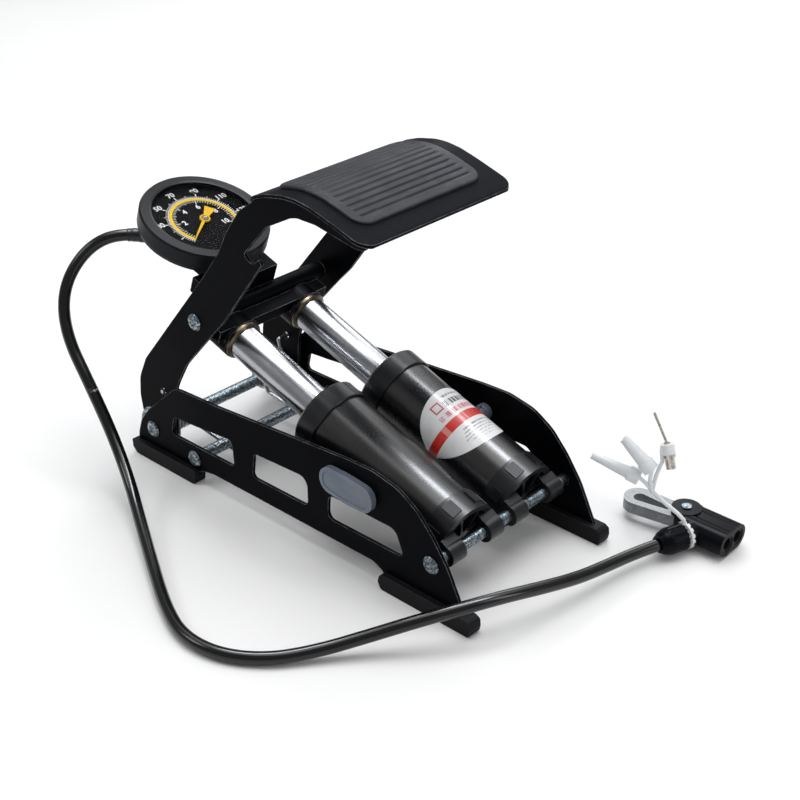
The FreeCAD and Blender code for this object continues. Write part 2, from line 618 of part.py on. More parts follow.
# --------------------------------------------------- barrels, caps, bushes
for side, y in (("left", -BY), ("right", BY)):
    fr = bframe(y)
    turned(side + "_barrel", [("barrel_bore", "barrel_start"), ("barrel_rad", "barrel_start"), ("barrel_rad", "barrel_end"), ("barrel_bore", "barrel_end")], fr)
    turned(side + "_collar_cap", [("collar_hole", 118.0), ("barrel_rad", 118.0), ("barrel_rad", "collar_start"), ("collar_rad - 0.5", "collar_start"),
                                  ("collar_rad", "collar_start + 0.6"), ("collar_rad", "collar_end - 1.6"), ("collar_rad - 1.6", "collar_end"), ("collar_hole", "collar_end")], fr)
    turned(side + "_guide_bush", [("bush_bore", "bush_start"), ("barrel_bore", "bush_start"), ("barrel_bore", 118.0), ("bush_bore", 118.0)], fr)

    # end cap: cup round the barrel's lower end, ribbed face and two lugs on the rod
    cs, ce = v("cap_start"), v("cap_end")
    fr_inv = fr
    cup = Part.makeCylinder(v("cap_rad"), ce - cs, V(0, 0, 0), V(0, 1, 0))
    cup.translate(V(0, cs, 0))
    cup = cup.cut(Part.makeCylinder(v("barrel_rad"), 40, V(0, v("barrel_start"), 0), V(0, 1, 0)))
    recess = Part.makeCylinder(19.0, 3.0, V(0, cs - 0.01, 0), V(0, 1, 0))
    ribs = None
    for k in range(4):
        r = Part.makeBox(1.8, 3.0, 38.0, V(-0.9, cs - 0.01, -19.0))
        r.rotate(V(0, 0, 0), V(0, 1, 0), 22.5 + 45 * k)
        ribs = r if ribs is None else ribs.fuse(r)
    hub = Part.makeCylinder(4.0, 3.0, V(0, cs - 0.01, 0), V(0, 1, 0))
    recess = recess.cut(ribs).cut(hub)
    cup = cup.cut(recess)
    # raised grips round the rim
    for k in range(8):
        g = Part.makeBox(1.6, 9.0, 7.0, V(v("cap_rad") - 1.0, cs + 3.5, -3.5))
        g.rotate(V(0, 0, 0), V(0, 1, 0), 22.5 + 45 * k)
        cup = cup.fuse(g)
    # inlet holes through the floor
    for k in range(4):
        q = Part.makeCylinder(1.5, 10, V(9.5, cs - 1, 0), V(0, 1, 0))
        q.rotate(V(0, 0, 0), V(0, 1, 0), 90 * k)
        cup = cup.cut(q)
    lr, lo_, li_ = v("lug_rad"), v("lug_out"), v("lug_in")
    drop = v("barrel_drop")
    lugs = []
    for z0 in (-lo_, li_):
        # the lug is drawn in the barrel's frame: X square to the barrel, Y along it, Z across
        ear = Part.makeCylinder(lr, lo_ - li_, V(drop, 0, z0), V(0, 0, 1))
        web = Part.makePolygon([V(drop - lr * 0.985, 1.5, z0), V(drop + lr * 0.985, 1.5, z0), V(drop + 8.5, cs + 5.5, z0), V(drop - 16.5, cs + 5.5, z0), V(drop - lr * 0.985, 1.5, z0)])
        web = Part.Face(web).extrude(V(0, 0, lo_ - li_))
        lugs.append(ear.fuse(web))
    inside = Part.makeCylinder(v("cap_rad") - 0.01, 40, V(0, cs, 0), V(0, 1, 0))
    bore = Part.makeCylinder(v("barrel_rad"), 60, V(0, v("barrel_start"), 0), V(0, 1, 0))
    keep_out = Part.makeCylinder(60, 60, V(0, cs, 0), V(0, 1, 0)).cut(inside)
    for lug in lugs:
        lug = lug.cut(keep_out).cut(bore)
        cup = cup.fuse(lug)
    cup = cup.cut(Part.makeCylinder(v("lug_hole"), 80, V(drop, 0, -40), V(0, 0, 1)))
    cup = cup.removeSplitter()
    feature(side + "_end_cap", cup if len(cup.Solids) == 1 else max(cup.Solids, key=lambda q: q.Volume), fr)
    # rubber flap over the inlet holes
    turned(side + "_inlet_flap", [(0, "barrel_start"), (12.5, "barrel_start"), (12.5, "barrel_start + 1.4"), (0, "barrel_start + 1.4")], fr)

# printed label: a thin oval film wrapped over the right barrel's upper side
LAB_MID, LAB_HALF_S, LAB_HALF_ARC = 61.0, 22.7, 86.0
lab = cyl(v("barrel_rad") + 0.25, (0, 34.0, 0), (0, 90.0, 0)).cut(cyl(v("barrel_rad"), (0, 30.0, 0), (0, 100.0, 0)))
oval = []
for k in range(44):
    t = 2 * math.pi * k / 44
    th = math.radians(LAB_HALF_ARC * math.sin(t))
    # across the barrel is its own Z; along it is Y
    oval.append(V(0, LAB_MID + LAB_HALF_S * math.cos(t), (v("barrel_rad") + 0.125) * math.sin(th)))
edge_curve = Part.BSplineCurve()
edge_curve.interpolate(oval, True)
ef = Part.Face(Part.Wire(edge_curve.toShape())).extrude(V(60, 0, 0))
lab2 = lab.common(ef)
lab2 = lab2 if len(lab2.Solids) == 1 else max(lab2.Solids, key=lambda q: q.Volume)
feature("barrel_label", lab2, bframe(BY))

# --------------------------------------------------------- pressure gauge
GA, GY, GB = v("gauge_a"), v("gauge_y"), v("gauge_base")
gf = mframe(GA, GB, GY)       # Z along the gauge's axis, Z = 0 on its back
BR = v("bezel_rad")


gft = gf.multiply(Pl(V(0, 0, 0), Rot(V(1, 0, 0), 90)))   # the same, with Y along the axis
turned("gauge_housing", [(2.6, 0), (24.0, 0), (31.0, 1.0), (35.6, 3.6), (37.9, 7.4), (38.8, 14.2), (36.8, 14.2), (35.9, 7.8), (34.4, 4.9), (30.2, 2.9), (24.0, 2.0), (2.6, 2.0)], gft)
turned("gauge_bezel", [(38.9, 6.8), (39.8, 6.8), ("bezel_rad", 9.0), ("bezel_rad", 17.6), ("bezel_rad - 1.0", 19.1), (34.2, 19.5), (33.0, 19.1), (33.0, 17.9),
                       (36.6, 17.4), (36.6, 14.3), (38.9, 14.3)], gft)
turned("gauge_dial", [(1.3, 14.3), (36.5, 14.3), (36.5, 15.1), (1.3, 15.1)], gft)
turned("gauge_lens", [(0.0, 17.9), (32.9, 17.9), (32.9, 19.0), (0.0, 19.0)], gft)
# Bourdon tube movement: socket, curved tube and sector block
sock = Part.makeCylinder(2.5, 8.0, V(0, 0, -6.0), V(0, 0, 1)).fuse(box(-6, 6, -5, 5, 2.1, 6.2))
tor = Part.makeTorus(20.0, 1.7, V(0, 0, 6.6), V(0, 0, 1), -180, 180, 270)
tie = cyl(1.3, (5.0, 0, 5.0), (19.8, 0, 6.4))
mv = sock.fuse(tor).fuse(tie)
feature("gauge_movement", mv if len(mv.Solids) == 1 else max(mv.Solids, key=lambda q: q.Volume), gf)
# needle: spindle, hub, wide tail and thin pointer
NDIR = math.radians(-55.0)   # direction of the thin tip in the gauge's own frame
nd = Part.makeCylinder(1.2, 8.0, V(0, 0, 8.5), V(0, 0, 1)).fuse(Part.makeCylinder(3.3, 1.0, V(0, 0, 16.1), V(0, 0, 1)))
tipw = Part.Face(Part.makePolygon([V(0, -1.1, 16.3), V(21.6, -0.3, 16.3), V(21.6, 0.3, 16.3), V(0, 1.1, 16.3), V(0, -1.1, 16.3)])).extrude(V(0, 0, 0.6))
tail = Part.Face(Part.makePolygon([V(0, -1.0, 16.3), V(0, 1.0, 16.3), V(-12.0, 3.5, 16.3), V(-12.0, -3.5, 16.3), V(0, -1.0, 16.3)])).extrude(V(0, 0, 0.6))
nd = nd.fuse(tipw).fuse(tail)
nd.rotate(V(0, 0, 0), V(0, 0, 1), math.degrees(NDIR))
feature("gauge_needle", nd.removeSplitter(), gf)

# hose fitting: barbed spigot and crimp ferrule at the platform's rear corner
HOSE_START = V(-17.5, -28.3, 139.6)
HOSE_NEXT = (-34.5, -43.5, 143.6)
# the fitting's axis passes through the hose's first point
fdir = (V(*HOSE_NEXT) - HOSE_START).normalize()
fbase = HOSE_START - fdir * 9.0
fit = cyl(4.4, tuple(fbase - fdir * 1.0), tuple(fbase + fdir * 5.0)).fuse(cyl(5.2, tuple(fbase + fdir * 5.0), tuple(HOSE_START)))
fit = fit.fuse(cyl(2.1, tuple(fbase - fdir * 9.0), tuple(fbase)))
plat = mbox(-58.0, -14.0, 7.0, 17.8, -30.0, 6.0)
fit = fit.cut(plat.cut(cyl(2.2, tuple(PORT), tuple(PORT + HOSE_DIR * 22))))
fit = fit if len(fit.Solids) == 1 else max(fit.Solids, key=lambda q: q.Volume)
feature("hose_fitting", fit)

# ----------------------------------------------------------- the air hose
ROUTE = [tuple(HOSE_START), HOSE_NEXT, (-47.8, -62.5, 136.0), (-53.0, -80.5, 113.0), (-42.5, -90.0, 87.5),
         (-13.5, -94.5, 60.0), (6.0, -96.5, 36.0), (31.0, -105.5, 18.5), (60.0, -121.0, 9.0), (97.0, -142.0, 5.2),
         (131.0, -161.0, 4.3), (157.0, -171.0, 4.0), (183.0, -168.5, 4.0), (205.0, -154.0, 4.2), (221.0, -132.5, 6.0),
         (237.5, -110.0, 12.0), (254.0, -91.0, 19.5), (268.0, -71.0, 24.0), (277.5, -47.0, 23.5), (284.8, -20.0, 19.0),
         (289.6, 5.5, 14.2), (291.8, 28.5, 11.0), (295.0, 50.4, 9.6), (300.5, 67.9, 9.6)]


def hose_path(route):
    pts = [V(*p) for p in route]
    n = len(pts)
    edges = []
    start = pts[0]
    length = 0.0
    rads = []
    for i in range(1, n - 1):
        a, p, b = pts[i - 1], pts[i], pts[i + 1]
        d1 = (a - p)
        d2 = (b - p)
        l1, l2 = d1.Length, d2.Length
        d1.normalize()
        d2.normalize()
        half = (math.pi - d1.getAngle(d2)) / 2
        run = min(l1, l2)
        r = 0.45 * run / math.tan(half)
        k = 0.45 * run
        s, e = p + d1 * k, p + d2 * k
        bis = (d1 + d2).normalize()
        c = p + bis * (r / math.cos(half))
        m = c - bis * r
        edges.append(Part.LineSegment(start, s).toShape())
        edges.append(Part.Arc(s, m, e).toShape())
        length += (s - start).Length + r * 2 * half
        rads.append((round(r, 1), round(math.degrees(2 * half), 1)))
        start = e
    edges.append(Part.LineSegment(start, pts[-1]).toShape())
    length += (pts[-1] - start).Length
    return Part.Wire(edges), length, rads


path, hlen, rads = hose_path(ROUTE)
first = (V(*ROUTE[1]) - V(*ROUTE[0])).normalize()
circ = Part.Wire(Part.makeCircle(v("hose_rad"), V(*ROUTE[0]), first))
hose = path.makePipeShell([circ], True, False)
want = math.pi * v("hose_rad") ** 2 * hlen
print("hose length %.1f mm, volume %.1f against %.1f, solids %d, valid %s" % (hlen, hose.Volume, want, len(hose.Solids), hose.isValid()))
print("hose radii and turns:", rads)
feature("air_hose", hose)

# ------------------------------------------------------------- the chuck
CX, CZ = v("chuck_x"), v("chuck_z")
NR = v("nut_rad")
ND = V(0.30, 0.954, 0).normalize()      # the hose nut's axis, from the hose into the chuck
NP = V(CX - 2.5, 67.9, CZ)


def nut_at(k):
    return tuple(NP + ND * k)


def notched(shape, count, half, depth, rad, k0, k1):
    """Cut count notches round the nut's axis."""
    cutters = []
    for k in range(count):
        q = Part.makeBox(2 * half, k1 - k0, 3.0, V(-half, k0, rad - depth))
        q.rotate(V(0, 0, 0), V(0, 1, 0), 360.0 / count * k)
        q.rotate(V(0, 0, 0), V(0, 0, 1), math.degrees(math.atan2(ND.y, ND.x)) - 90)
        q.translate(NP)
        cutters.append(q)
    return shape.cut(Part.makeCompound(cutters))


nut = cone(5.2, 7.0, nut_at(0), nut_at(3.0)).fuse(cone(7.0, NR, nut_at(3.0), nut_at(7.0))).fuse(cyl(NR, nut_at(7.0), nut_at(17.6)))
nut = notched(nut, 18, 0.55, 0.6, NR, 6.0, 18.5)
nut = nut.cut(cyl(3.2, nut_at(1.5), nut_at(19.0)))
feature("hose_nut", nut)
ring = cyl(NR + 0.1, nut_at(19.0), nut_at(21.2)).cut(cyl(5.2, nut_at(18.0), nut_at(22.0)))
ring = notched(ring, 14, 0.8, 1.1, NR + 0.1, 20.2, 22.0)
feature("hose_nut_ring", ring)

# body: two round valve sockets side by side, neck for the nut, forked lever boss
zc = CZ
MOUTHS = (95.9, 106.7)
XE = 330.2
cb = cyl(8.0, (301.0, MOUTHS[0], zc), (XE, MOUTHS[0], zc)).fuse(cyl(8.0, (301.0, MOUTHS[1], zc), (XE, MOUTHS[1], zc)))
cb = cb.fuse(box(301.0, XE, MOUTHS[0], MOUTHS[1], zc - 7.5, zc + 7.5))
cb = cb.fuse(cyl(9.0, (297.0, 102.0, zc - 8.4), (297.0, 102.0, zc + 8.4)))
cb = cb.fuse(box(297.0, 303.0, 94.0, 110.0, zc - 8.0, zc + 8.0))
cb = cb.fuse(cyl(4.9, nut_at(17.9), nut_at(32.0))).fuse(cyl(7.2, nut_at(21.5), nut_at(31.0)))
cb = cb.fuse(cyl(3.1, nut_at(9.0), nut_at(18.0)))
cb = cb.cut(box(280.0, 306.4, 93.5, 120.0, zc - 4.0, zc + 4.0))
for y in MOUTHS:
    cb = cb.cut(cyl(5.3, (XE - 12.0, y, zc), (XE + 1.0, y, zc)))
cb = cb.cut(cyl(1.3, nut_at(5.0), nut_at(26.0)))
# seat for the toothed ring
cb = cb.cut(cyl(NR + 0.4, nut_at(18.9), nut_at(21.3)).cut(cyl(5.0, nut_at(18.0), nut_at(22.0))))
cb = cb.cut(cyl(v("lever_pin_rad"), (297, 102, zc - 9), (297, 102, zc + 9)))
cb = cb.removeSplitter()
feature("chuck_body", cb if len(cb.Solids) == 1 else max(cb.Solids, key=lambda q: q.Volume))
gs = []
for y in MOUTHS:
    g = cyl(5.3, (XE - 7.0, y, zc), (XE - 0.6, y, zc)).cut(cyl(3.9, (XE - 8.0, y, zc), (XE + 1.0, y, zc)))
    gs.append(g)
feature("chuck_seals", Part.makeCompound(gs))
ps = []
for y in MOUTHS:
    ps.append(cyl(2.0, (XE - 12.0, y, zc), (XE - 7.6, y, zc)))
feature("chuck_valve_pins", Part.makeCompound(ps))
pin = cyl(v("lever_pin_rad"), (297, 102, zc - 8.4), (297, 102, zc + 8.4)).fuse(cyl(3.0, (297, 102, zc + 8.4), (297, 102, zc + 9.2)))
feature("chuck_lever_pin", pin)
# thumb lever: a thick loop with a long opening
lv = [(297.0, 102.0), (266.0, 98.6)]
zl0, zl1 = zc - 3.7, zc + 3.7


def hull2(c0, r0, c1, r1, z0, z1):
    """Tangent hull of two circles, extruded."""
    dx, dy = c1[0] - c0[0], c1[1] - c0[1]
    L = math.hypot(dx, dy)
    ph = math.acos((r0 - r1) / L)
    th = math.atan2(dy, dx)
    s = Part.makeCylinder(r0, z1 - z0, V(c0[0], c0[1], z0)).fuse(Part.makeCylinder(r1, z1 - z0, V(c1[0], c1[1], z0)))
    q = []
    for sg in (1, -1):
        q.append((V(c0[0] + r0 * math.cos(th + sg * ph), c0[1] + r0 * math.sin(th + sg * ph), z0),
                  V(c1[0] + r1 * math.cos(th + sg * ph), c1[1] + r1 * math.sin(th + sg * ph), z0)))
    f = Part.Face(Part.makePolygon([q[0][0], q[0][1], q[1][1], q[1][0], q[0][0]])).extrude(V(0, 0, z1 - z0))
    return s.fuse(f)


lever = hull2(lv[0], 7.2, lv[1], 9.6, zl0, zl1)
lever = lever.cut(hull2((285.0, 99.6), 2.0, (267.0, 98.0), 4.2, zl0 - 1, zl1 + 1))
lever = lever.cut(cyl(v("lever_pin_rad") + 0.06, (297, 102, 0), (297, 102, 20)))
feature("chuck_lever", lever.removeSplitter())

# adapters on their strap: loop round the neck, stem, three branches with collars
sr = 1.25
hoop = Part.makeTorus(5.9, 0.75, V(*nut_at(18.35)), ND)
fork = (286.5, 78.5, 35.5)
hp = V(*nut_at(18.35))
stem = rod_along([(hp.x, hp.y, zc + 5.9), (hp.x - 0.6, hp.y, zc + 10.8), (302.0, 83.5, 24.5), (294.5, 81.5, 29.0), fork], sr)
n1a, n1b = (279.9, 73.6, 44.4), (254.0, 61.4, 54.4)
n2a, n2b = (286.4, 75.4, 51.5), (269.2, 70.2, 68.0)
b3a, b3b, b3c = (295.3, 80.6, 57.4), (291.4, 81.2, 68.6), (280.4, 82.0, 84.6)


def along(p, q, k):
    p, q = V(*p), V(*q)
    d = (q - p).normalize()
    return tuple(p + d * k)


strap = hoop.fuse(stem)
strap = strap.fuse(rod_along([fork, (283.2, 75.4, 41.4), along(n1a, n1b, 0.4)], sr))
strap = strap.fuse(rod_along([fork, (285.4, 76.4, 44.0), along(n2a, n2b, -0.2)], sr))
strap = strap.fuse(rod_along([fork, (287.4, 79.3, 46.0), (289.9, 80.5, 56.6), (288.2, 81.0, 64.4)], sr))
d3 = (V(*b3b) - V(*b3a)).normalize()
c3a, c3b = tuple(V(*b3a) + d3 * 6.0), tuple(V(*b3a) + d3 * 12.0)
eye = cyl(4.2, c3a, c3b)
strap = strap.fuse(rod_along([(288.2, 81.0, 64.4), tuple(V(*b3a) + d3 * 9.6)], sr)).fuse(eye)
strap = strap.cut(cyl(2.0, tuple(V(*b3a) + d3 * 2.0), tuple(V(*b3a) + d3 * 20.0)))
n1 = cone(4.3, 2.3, n1a, n1b).cut(cyl(1.2, n1a, n1b))
n1 = n1.fuse(cyl(4.7, n1a, along(n1a, n1b, 7.0)).cut(cyl(1.2, n1a, n1b)))
n2 = cone(4.7, 2.9, n2a, n2b).cut(cyl(1.4, n2a, n2b))
n2 = n2.fuse(cyl(4.9, n2a, along(n2a, n2b, 6.5)).cut(cyl(1.4, n2a, n2b)))
strap = strap.cut(cone(4.3, 2.3, n1a, n1b)).cut(cyl(4.7, n1a, along(n1a, n1b, 7.0)))
strap = strap.cut(cone(4.7, 2.9, n2a, n2b)).cut(cyl(4.9, n2a, along(n2a, n2b, 6.5)))
feature("long_nozzle", n1.removeSplitter())
feature("short_nozzle", n2.removeSplitter())
nb0, nb1 = tuple(V(*b3a) - d3 * 3.0), tuple(V(*b3a) + d3 * 4.0)
nee = cyl(2.9, nb0, nb1).fuse(cyl(3.9, nb1, tuple(V(*b3a) + d3 * 5.8))).fuse(cyl(1.9, tuple(V(*b3a) + d3 * 5.8), tuple(V(*b3a) + d3 * 12.6)))
nee = nee.fuse(cyl(0.85, tuple(V(*b3a) + d3 * 12.0), tuple(V(*b3a) + d3 * 12.0 + (V(*b3c) - V(*b3a) - d3 * 12.0))))
nee = nee.removeSplitter()
strap = strap.cut(nee).cut(nut).cut(ring).cut(cb)
strap = strap.removeSplitter()
feature("adapter_strap", strap if len(strap.Solids) == 1 else max(strap.Solids, key=lambda q: q.Volume))
feature("ball_needle", nee if len(nee.Solids) == 1 else max(nee.Solids, key=lambda q: q.Volume))

# ------------------------------------------------------------ check, write
shift = Pl(V(-v("origin_x"), 0, 0), Rot())
for o in NODES:
    o.Placement = shift.multiply(o.Placement)
doc.recompute()
bad = []
for o in doc.Objects:
    if any(s in ("Invalid", "Error") for s in o.State):
        bad.append(o.Name + " " + str(o.State))
for o in NODES:
    s = o.Shape
    if s.isNull() or not s.isValid() or s.Volume <= 0 or len(s.Solids) < 1:
        bad.append(o.Label + " shape null %s valid %s" % (s.isNull(), (not s.isNull()) and s.isValid()))
if bad:
    raise RuntimeError("\n".join(bad))
for o in NODES:
    s = o.Shape
    bb = s.BoundBox
    print("%-22s solids %d vol %9.1f  x %.1f..%.1f y %.1f..%.1f z %.1f..%.1f" % (o.Label, len(s.Solids), s.Volume, bb.XMin, bb.XMax, bb.YMin, bb.YMax, bb.ZMin, bb.ZMax))
    s.exportStep(os.path.join("parts", o.Label + ".step"))
print(len(NODES), "nodes")
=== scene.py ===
import json
import math
import bpy
import bmesh
from mathutils import Vector, Matrix, Quaternion


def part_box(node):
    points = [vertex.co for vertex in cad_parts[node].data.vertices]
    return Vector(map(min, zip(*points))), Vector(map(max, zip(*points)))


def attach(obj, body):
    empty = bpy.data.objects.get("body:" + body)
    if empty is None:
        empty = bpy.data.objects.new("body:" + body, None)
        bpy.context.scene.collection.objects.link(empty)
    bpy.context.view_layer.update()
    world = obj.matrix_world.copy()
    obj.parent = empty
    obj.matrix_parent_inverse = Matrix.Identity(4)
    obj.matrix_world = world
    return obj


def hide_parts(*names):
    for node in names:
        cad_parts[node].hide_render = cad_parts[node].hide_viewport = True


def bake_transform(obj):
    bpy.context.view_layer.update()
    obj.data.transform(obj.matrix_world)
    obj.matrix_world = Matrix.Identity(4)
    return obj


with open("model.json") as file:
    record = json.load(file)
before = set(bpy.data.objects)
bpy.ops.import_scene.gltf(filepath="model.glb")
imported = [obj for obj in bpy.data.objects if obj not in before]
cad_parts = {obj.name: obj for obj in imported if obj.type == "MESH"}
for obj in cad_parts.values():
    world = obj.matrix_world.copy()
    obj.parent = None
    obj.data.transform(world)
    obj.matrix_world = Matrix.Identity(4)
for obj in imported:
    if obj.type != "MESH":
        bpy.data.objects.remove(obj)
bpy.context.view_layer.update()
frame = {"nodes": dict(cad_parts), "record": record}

nodes = frame["nodes"]
scene = bpy.context.scene
OX = 121.2


def R(x, y, z):
    """A point given in millimetres from the rear axle, in the row frame."""
    return Vector(((x - OX) / 1000.0, y / 1000.0, z / 1000.0))


# ------------------------------------------------------------------ camera
AZ, EL, ROLL = math.radians(42.42), math.radians(29.43), math.radians(0.31)
back = Vector((math.sin(AZ) * math.cos(EL), -math.cos(AZ) * math.cos(EL), math.sin(EL)))
right = Vector((math.cos(AZ), math.sin(AZ), 0))
up = back.cross(right)
cx = right * math.cos(ROLL) + up * math.sin(ROLL)
cy = up * math.cos(ROLL) - right * math.sin(ROLL)
cam_data = bpy.data.cameras.new("camera")
cam = bpy.data.objects.new("camera", cam_data)
scene.collection.objects.link(cam)
m = Matrix((cx, cy, back)).transposed().to_4x4()
m.translation = Vector((0.5512, -0.5625, 0.5095))
cam.matrix_world = m
cam_data.sensor_fit = "HORIZONTAL"
cam_data.sensor_width = 36.0
cam_data.lens = 67.21
cam_data.clip_start, cam_data.clip_end = 0.02, 30.0
scene.camera = cam


# -------------------------------------------------------- material builder
class Mat:
    """A node material whose patterns use the object's own coordinates, in metres."""

    def __init__(self, name, base=(0.5, 0.5, 0.5), rough=0.5, metallic=0.0, coat=0.0, coat_rough=0.1, spec=0.5, ior=1.5,
                 trans=0.0, sss=0.0, alpha=1.0, sheen=0.0):
        self.m = bpy.data.materials.new(name)
        self.m.use_nodes = True
        self.t = self.m.node_tree
        self.n = self.t.nodes
        self.b = self.n["Principled BSDF"]
        i = self.b.inputs
        i["Base Color"].default_value = (*base, 1)
        i["Roughness"].default_value = rough
        i["Metallic"].default_value = metallic
        i["Coat Weight"].default_value = coat
        i["Coat Roughness"].default_value = coat_rough
        i["Specular IOR Level"].default_value = spec
        i["IOR"].default_value = ior
        i["Transmission Weight"].default_value = trans
        i["Subsurface Weight"].default_value = sss
        i["Subsurface Radius"].default_value = (0.004, 0.004, 0.004)
        i["Alpha"].default_value = alpha
        i["Sheen Weight"].default_value = sheen
        self.co = self.n.new("ShaderNodeTexCoord").outputs["Object"]

    def link(self, a, b):
        self.t.links.new(a, b)

    def noise(self, scale, detail=3.0, rough=0.55, stretch=None, distort=0.0):
        n = self.n.new("ShaderNodeTexNoise")
        n.inputs["Scale"].default_value = scale
        n.inputs["Detail"].default_value = detail
        n.inputs["Roughness"].default_value = rough
        n.inputs["Distortion"].default_value = distort
        if stretch is None:
            self.link(self.co, n.inputs["Vector"])
        else:
            mp = self.n.new("ShaderNodeMapping")
            loc, rot, scl = stretch
            mp.inputs["Rotation"].default_value = rot
            mp.inputs["Scale"].default_value = scl
            self.link(self.co, mp.inputs["Vector"])
            self.link(mp.outputs[0], n.inputs["Vector"])
        return n.outputs["Fac"]

    def voronoi(self, scale, feature="F1"):
        n = self.n.new("ShaderNodeTexVoronoi")
        n.feature = feature
        n.inputs["Scale"].default_value = scale
        self.link(self.co, n.inputs["Vector"])
        return n.outputs["Distance"]

    def ramp(self, fac, stops):
        r = self.n.new("ShaderNodeValToRGB")
        e = r.color_ramp.elements
        while len(e) < len(stops):
            e.new(0.5)
        for q, (p, c) in zip(e, stops):
            q.position = p
            q.color = (*c, 1) if len(c) == 3 else c
        self.link(fac, r.inputs["Fac"])
        return r.outputs["Color"]

    def val(self, fac, a, b, lo=0.0, hi=1.0):
        r = self.n.new("ShaderNodeMapRange")
        r.inputs["From Min"].default_value = lo
        r.inputs["From Max"].default_value = hi
        r.inputs["To Min"].default_value = a
        r.inputs["To Max"].default_value = b
        self.link(fac, r.inputs["Value"])
        return r.outputs["Result"]

    def math(self, op, a, b=None):
        q = self.n.new("ShaderNodeMath")
        q.operation = op
        for k, x in enumerate((a, b)):
            if x is None:
                continue
            if isinstance(x, (int, float)):
                q.inputs[k].default_value = x
            else:
                self.link(x, q.inputs[k])
        return q.outputs[0]

    def mix(self, fac, a, b):
        q = self.n.new("ShaderNodeMix")
        q.data_type = "RGBA"
        if isinstance(fac, (int, float)):
            q.inputs[0].default_value = fac
        else:
            self.link(fac, q.inputs[0])
        for k, x in ((6, a), (7, b)):
            if isinstance(x, tuple):
                q.inputs[k].default_value = (*x, 1)
            else:
                self.link(x, q.inputs[k])
        return q.outputs[2]

    def edge(self, radius, gain=4.0):
        """1 along edges and corners, 0 on open faces."""
        bv = self.n.new("ShaderNodeBevel")
        bv.samples = 4
        bv.inputs["Radius"].default_value = radius
        ge = self.n.new("ShaderNodeNewGeometry")
        d = self.n.new("ShaderNodeVectorMath")
        d.operation = "DOT_PRODUCT"
        self.link(bv.outputs["Normal"], d.inputs[0])
        self.link(ge.outputs["Normal"], d.inputs[1])
        one = self.math("SUBTRACT", 1.0, d.outputs["Value"])
        q = self.math("MULTIPLY", one, gain)
        q.node.use_clamp = True
        return q

    def dot(self, vec, origin):
        """Distance from origin along vec, in metres."""
        s = self.n.new("ShaderNodeVectorMath")
        s.operation = "SUBTRACT"
        self.link(self.co, s.inputs[0])
        s.inputs[1].default_value = origin
        d = self.n.new("ShaderNodeVectorMath")
        d.operation = "DOT_PRODUCT"
        self.link(s.outputs[0], d.inputs[0])
        d.inputs[1].default_value = vec
        return d.outputs["Value"]

    def bump(self, height, strength, distance):
        q = self.n.new("ShaderNodeBump")
        q.inputs["Strength"].default_value = strength
        q.inputs["Distance"].default_value = distance
        self.link(height, q.inputs["Height"])
        self.link(q.outputs["Normal"], self.b.inputs["Normal"])
        return q

    def color(self, c):
        self.link(c, self.b.inputs["Base Color"])

    def rough(self, r):
        self.link(r, self.b.inputs["Roughness"])


def black_coat(name, lo, hi, edge_sheen_col, rough, grain, bump_mm, edge_r=0.0007, coat=0.0, edge_gain=3.0, spec=0.2, speck=0.3):
    """Powder-coated or moulded black: cloudy tone, fine grain, and lighter edges that are a painted highlight, broken
    up by noise.
    """
    q = Mat(name, base=hi, rough=rough[0], coat=coat, coat_rough=0.2, spec=spec)
    cloud = q.noise(28, 4, 0.6)
    fine = q.noise(grain, 2, 0.6)
    tone = q.ramp(cloud, [(0.3, lo), (0.7, hi)])
    grainc = q.ramp(fine, [(0.35, (1 - speck,) * 3), (0.75, (1 + speck,) * 3)])
    mul = q.n.new("ShaderNodeMix")
    mul.data_type = "RGBA"
    mul.blend_type = "MULTIPLY"
    mul.inputs[0].default_value = 1.0
    q.link(tone, mul.inputs[6])
    q.link(grainc, mul.inputs[7])
    e = q.edge(edge_r, edge_gain)
    # painted highlight along edges and corners, in patches set by noise
    edge_sheen = q.math("MULTIPLY", e, q.val(q.noise(160, 3, 0.6), 0.25, 1.0, 0.35, 0.6))
    q.color(q.mix(edge_sheen, mul.outputs[2], edge_sheen_col))
    r = q.math("ADD", q.val(cloud, rough[0], rough[1], 0.3, 0.7), q.val(fine, -0.05, 0.05))
    q.rough(r)
    q.bump(fine, 0.35, bump_mm / 1000.0)
    return q.m


MATS = {}
# the fourth argument is the colour of the painted edge highlight
MATS["black_paint"] = black_coat("black_powder_coat", (0.0010, 0.0013, 0.0024), (0.0019, 0.0023, 0.0039), (0.34, 0.35, 0.38), (0.32, 0.44), 2600, 0.04, 0.00055, 0.0, 5.0, 0.028, 0.25)
MATS["pedal_paint"] = black_coat("pedal_powder_coat", (0.0036, 0.0041, 0.0066), (0.0060, 0.0067, 0.0098), (0.34, 0.35, 0.37), (0.40, 0.52), 2100, 0.06, 0.0005, 0.0, 5.0, 0.022, 0.3)
MATS["barrel_black"] = black_coat("barrel_enamel", (0.0028, 0.0031, 0.0045), (0.0046, 0.0051, 0.0070), (0.07, 0.07, 0.08), (0.25, 0.32), 1900, 0.008, 0.0005, 0.0, 2.5, 0.80, 0.10)
MATS["plastic_black"] = black_coat("moulded_black", (0.0034, 0.0037, 0.0052), (0.0060, 0.0066, 0.0086), (0.060, 0.064, 0.072), (0.28, 0.37), 3200, 0.03, 0.0005, 0.0, 2.5, 0.42, 0.2)
MATS["rubber_black"] = black_coat("foot_rubber", (0.0046, 0.0049, 0.0064), (0.0080, 0.0084, 0.0102), (0.05, 0.052, 0.058), (0.50, 0.62), 1500, 0.06, 0.0008, 0.0, 2.5, 0.13, 0.3)
MATS["bezel_plastic"] = black_coat("bezel_plastic", (0.0068, 0.0076, 0.0098), (0.0100, 0.0110, 0.0138), (0.075, 0.08, 0.09), (0.34, 0.43), 2800, 0.04, 0.0005, 0.0, 2.5, 0.12, 0.2)
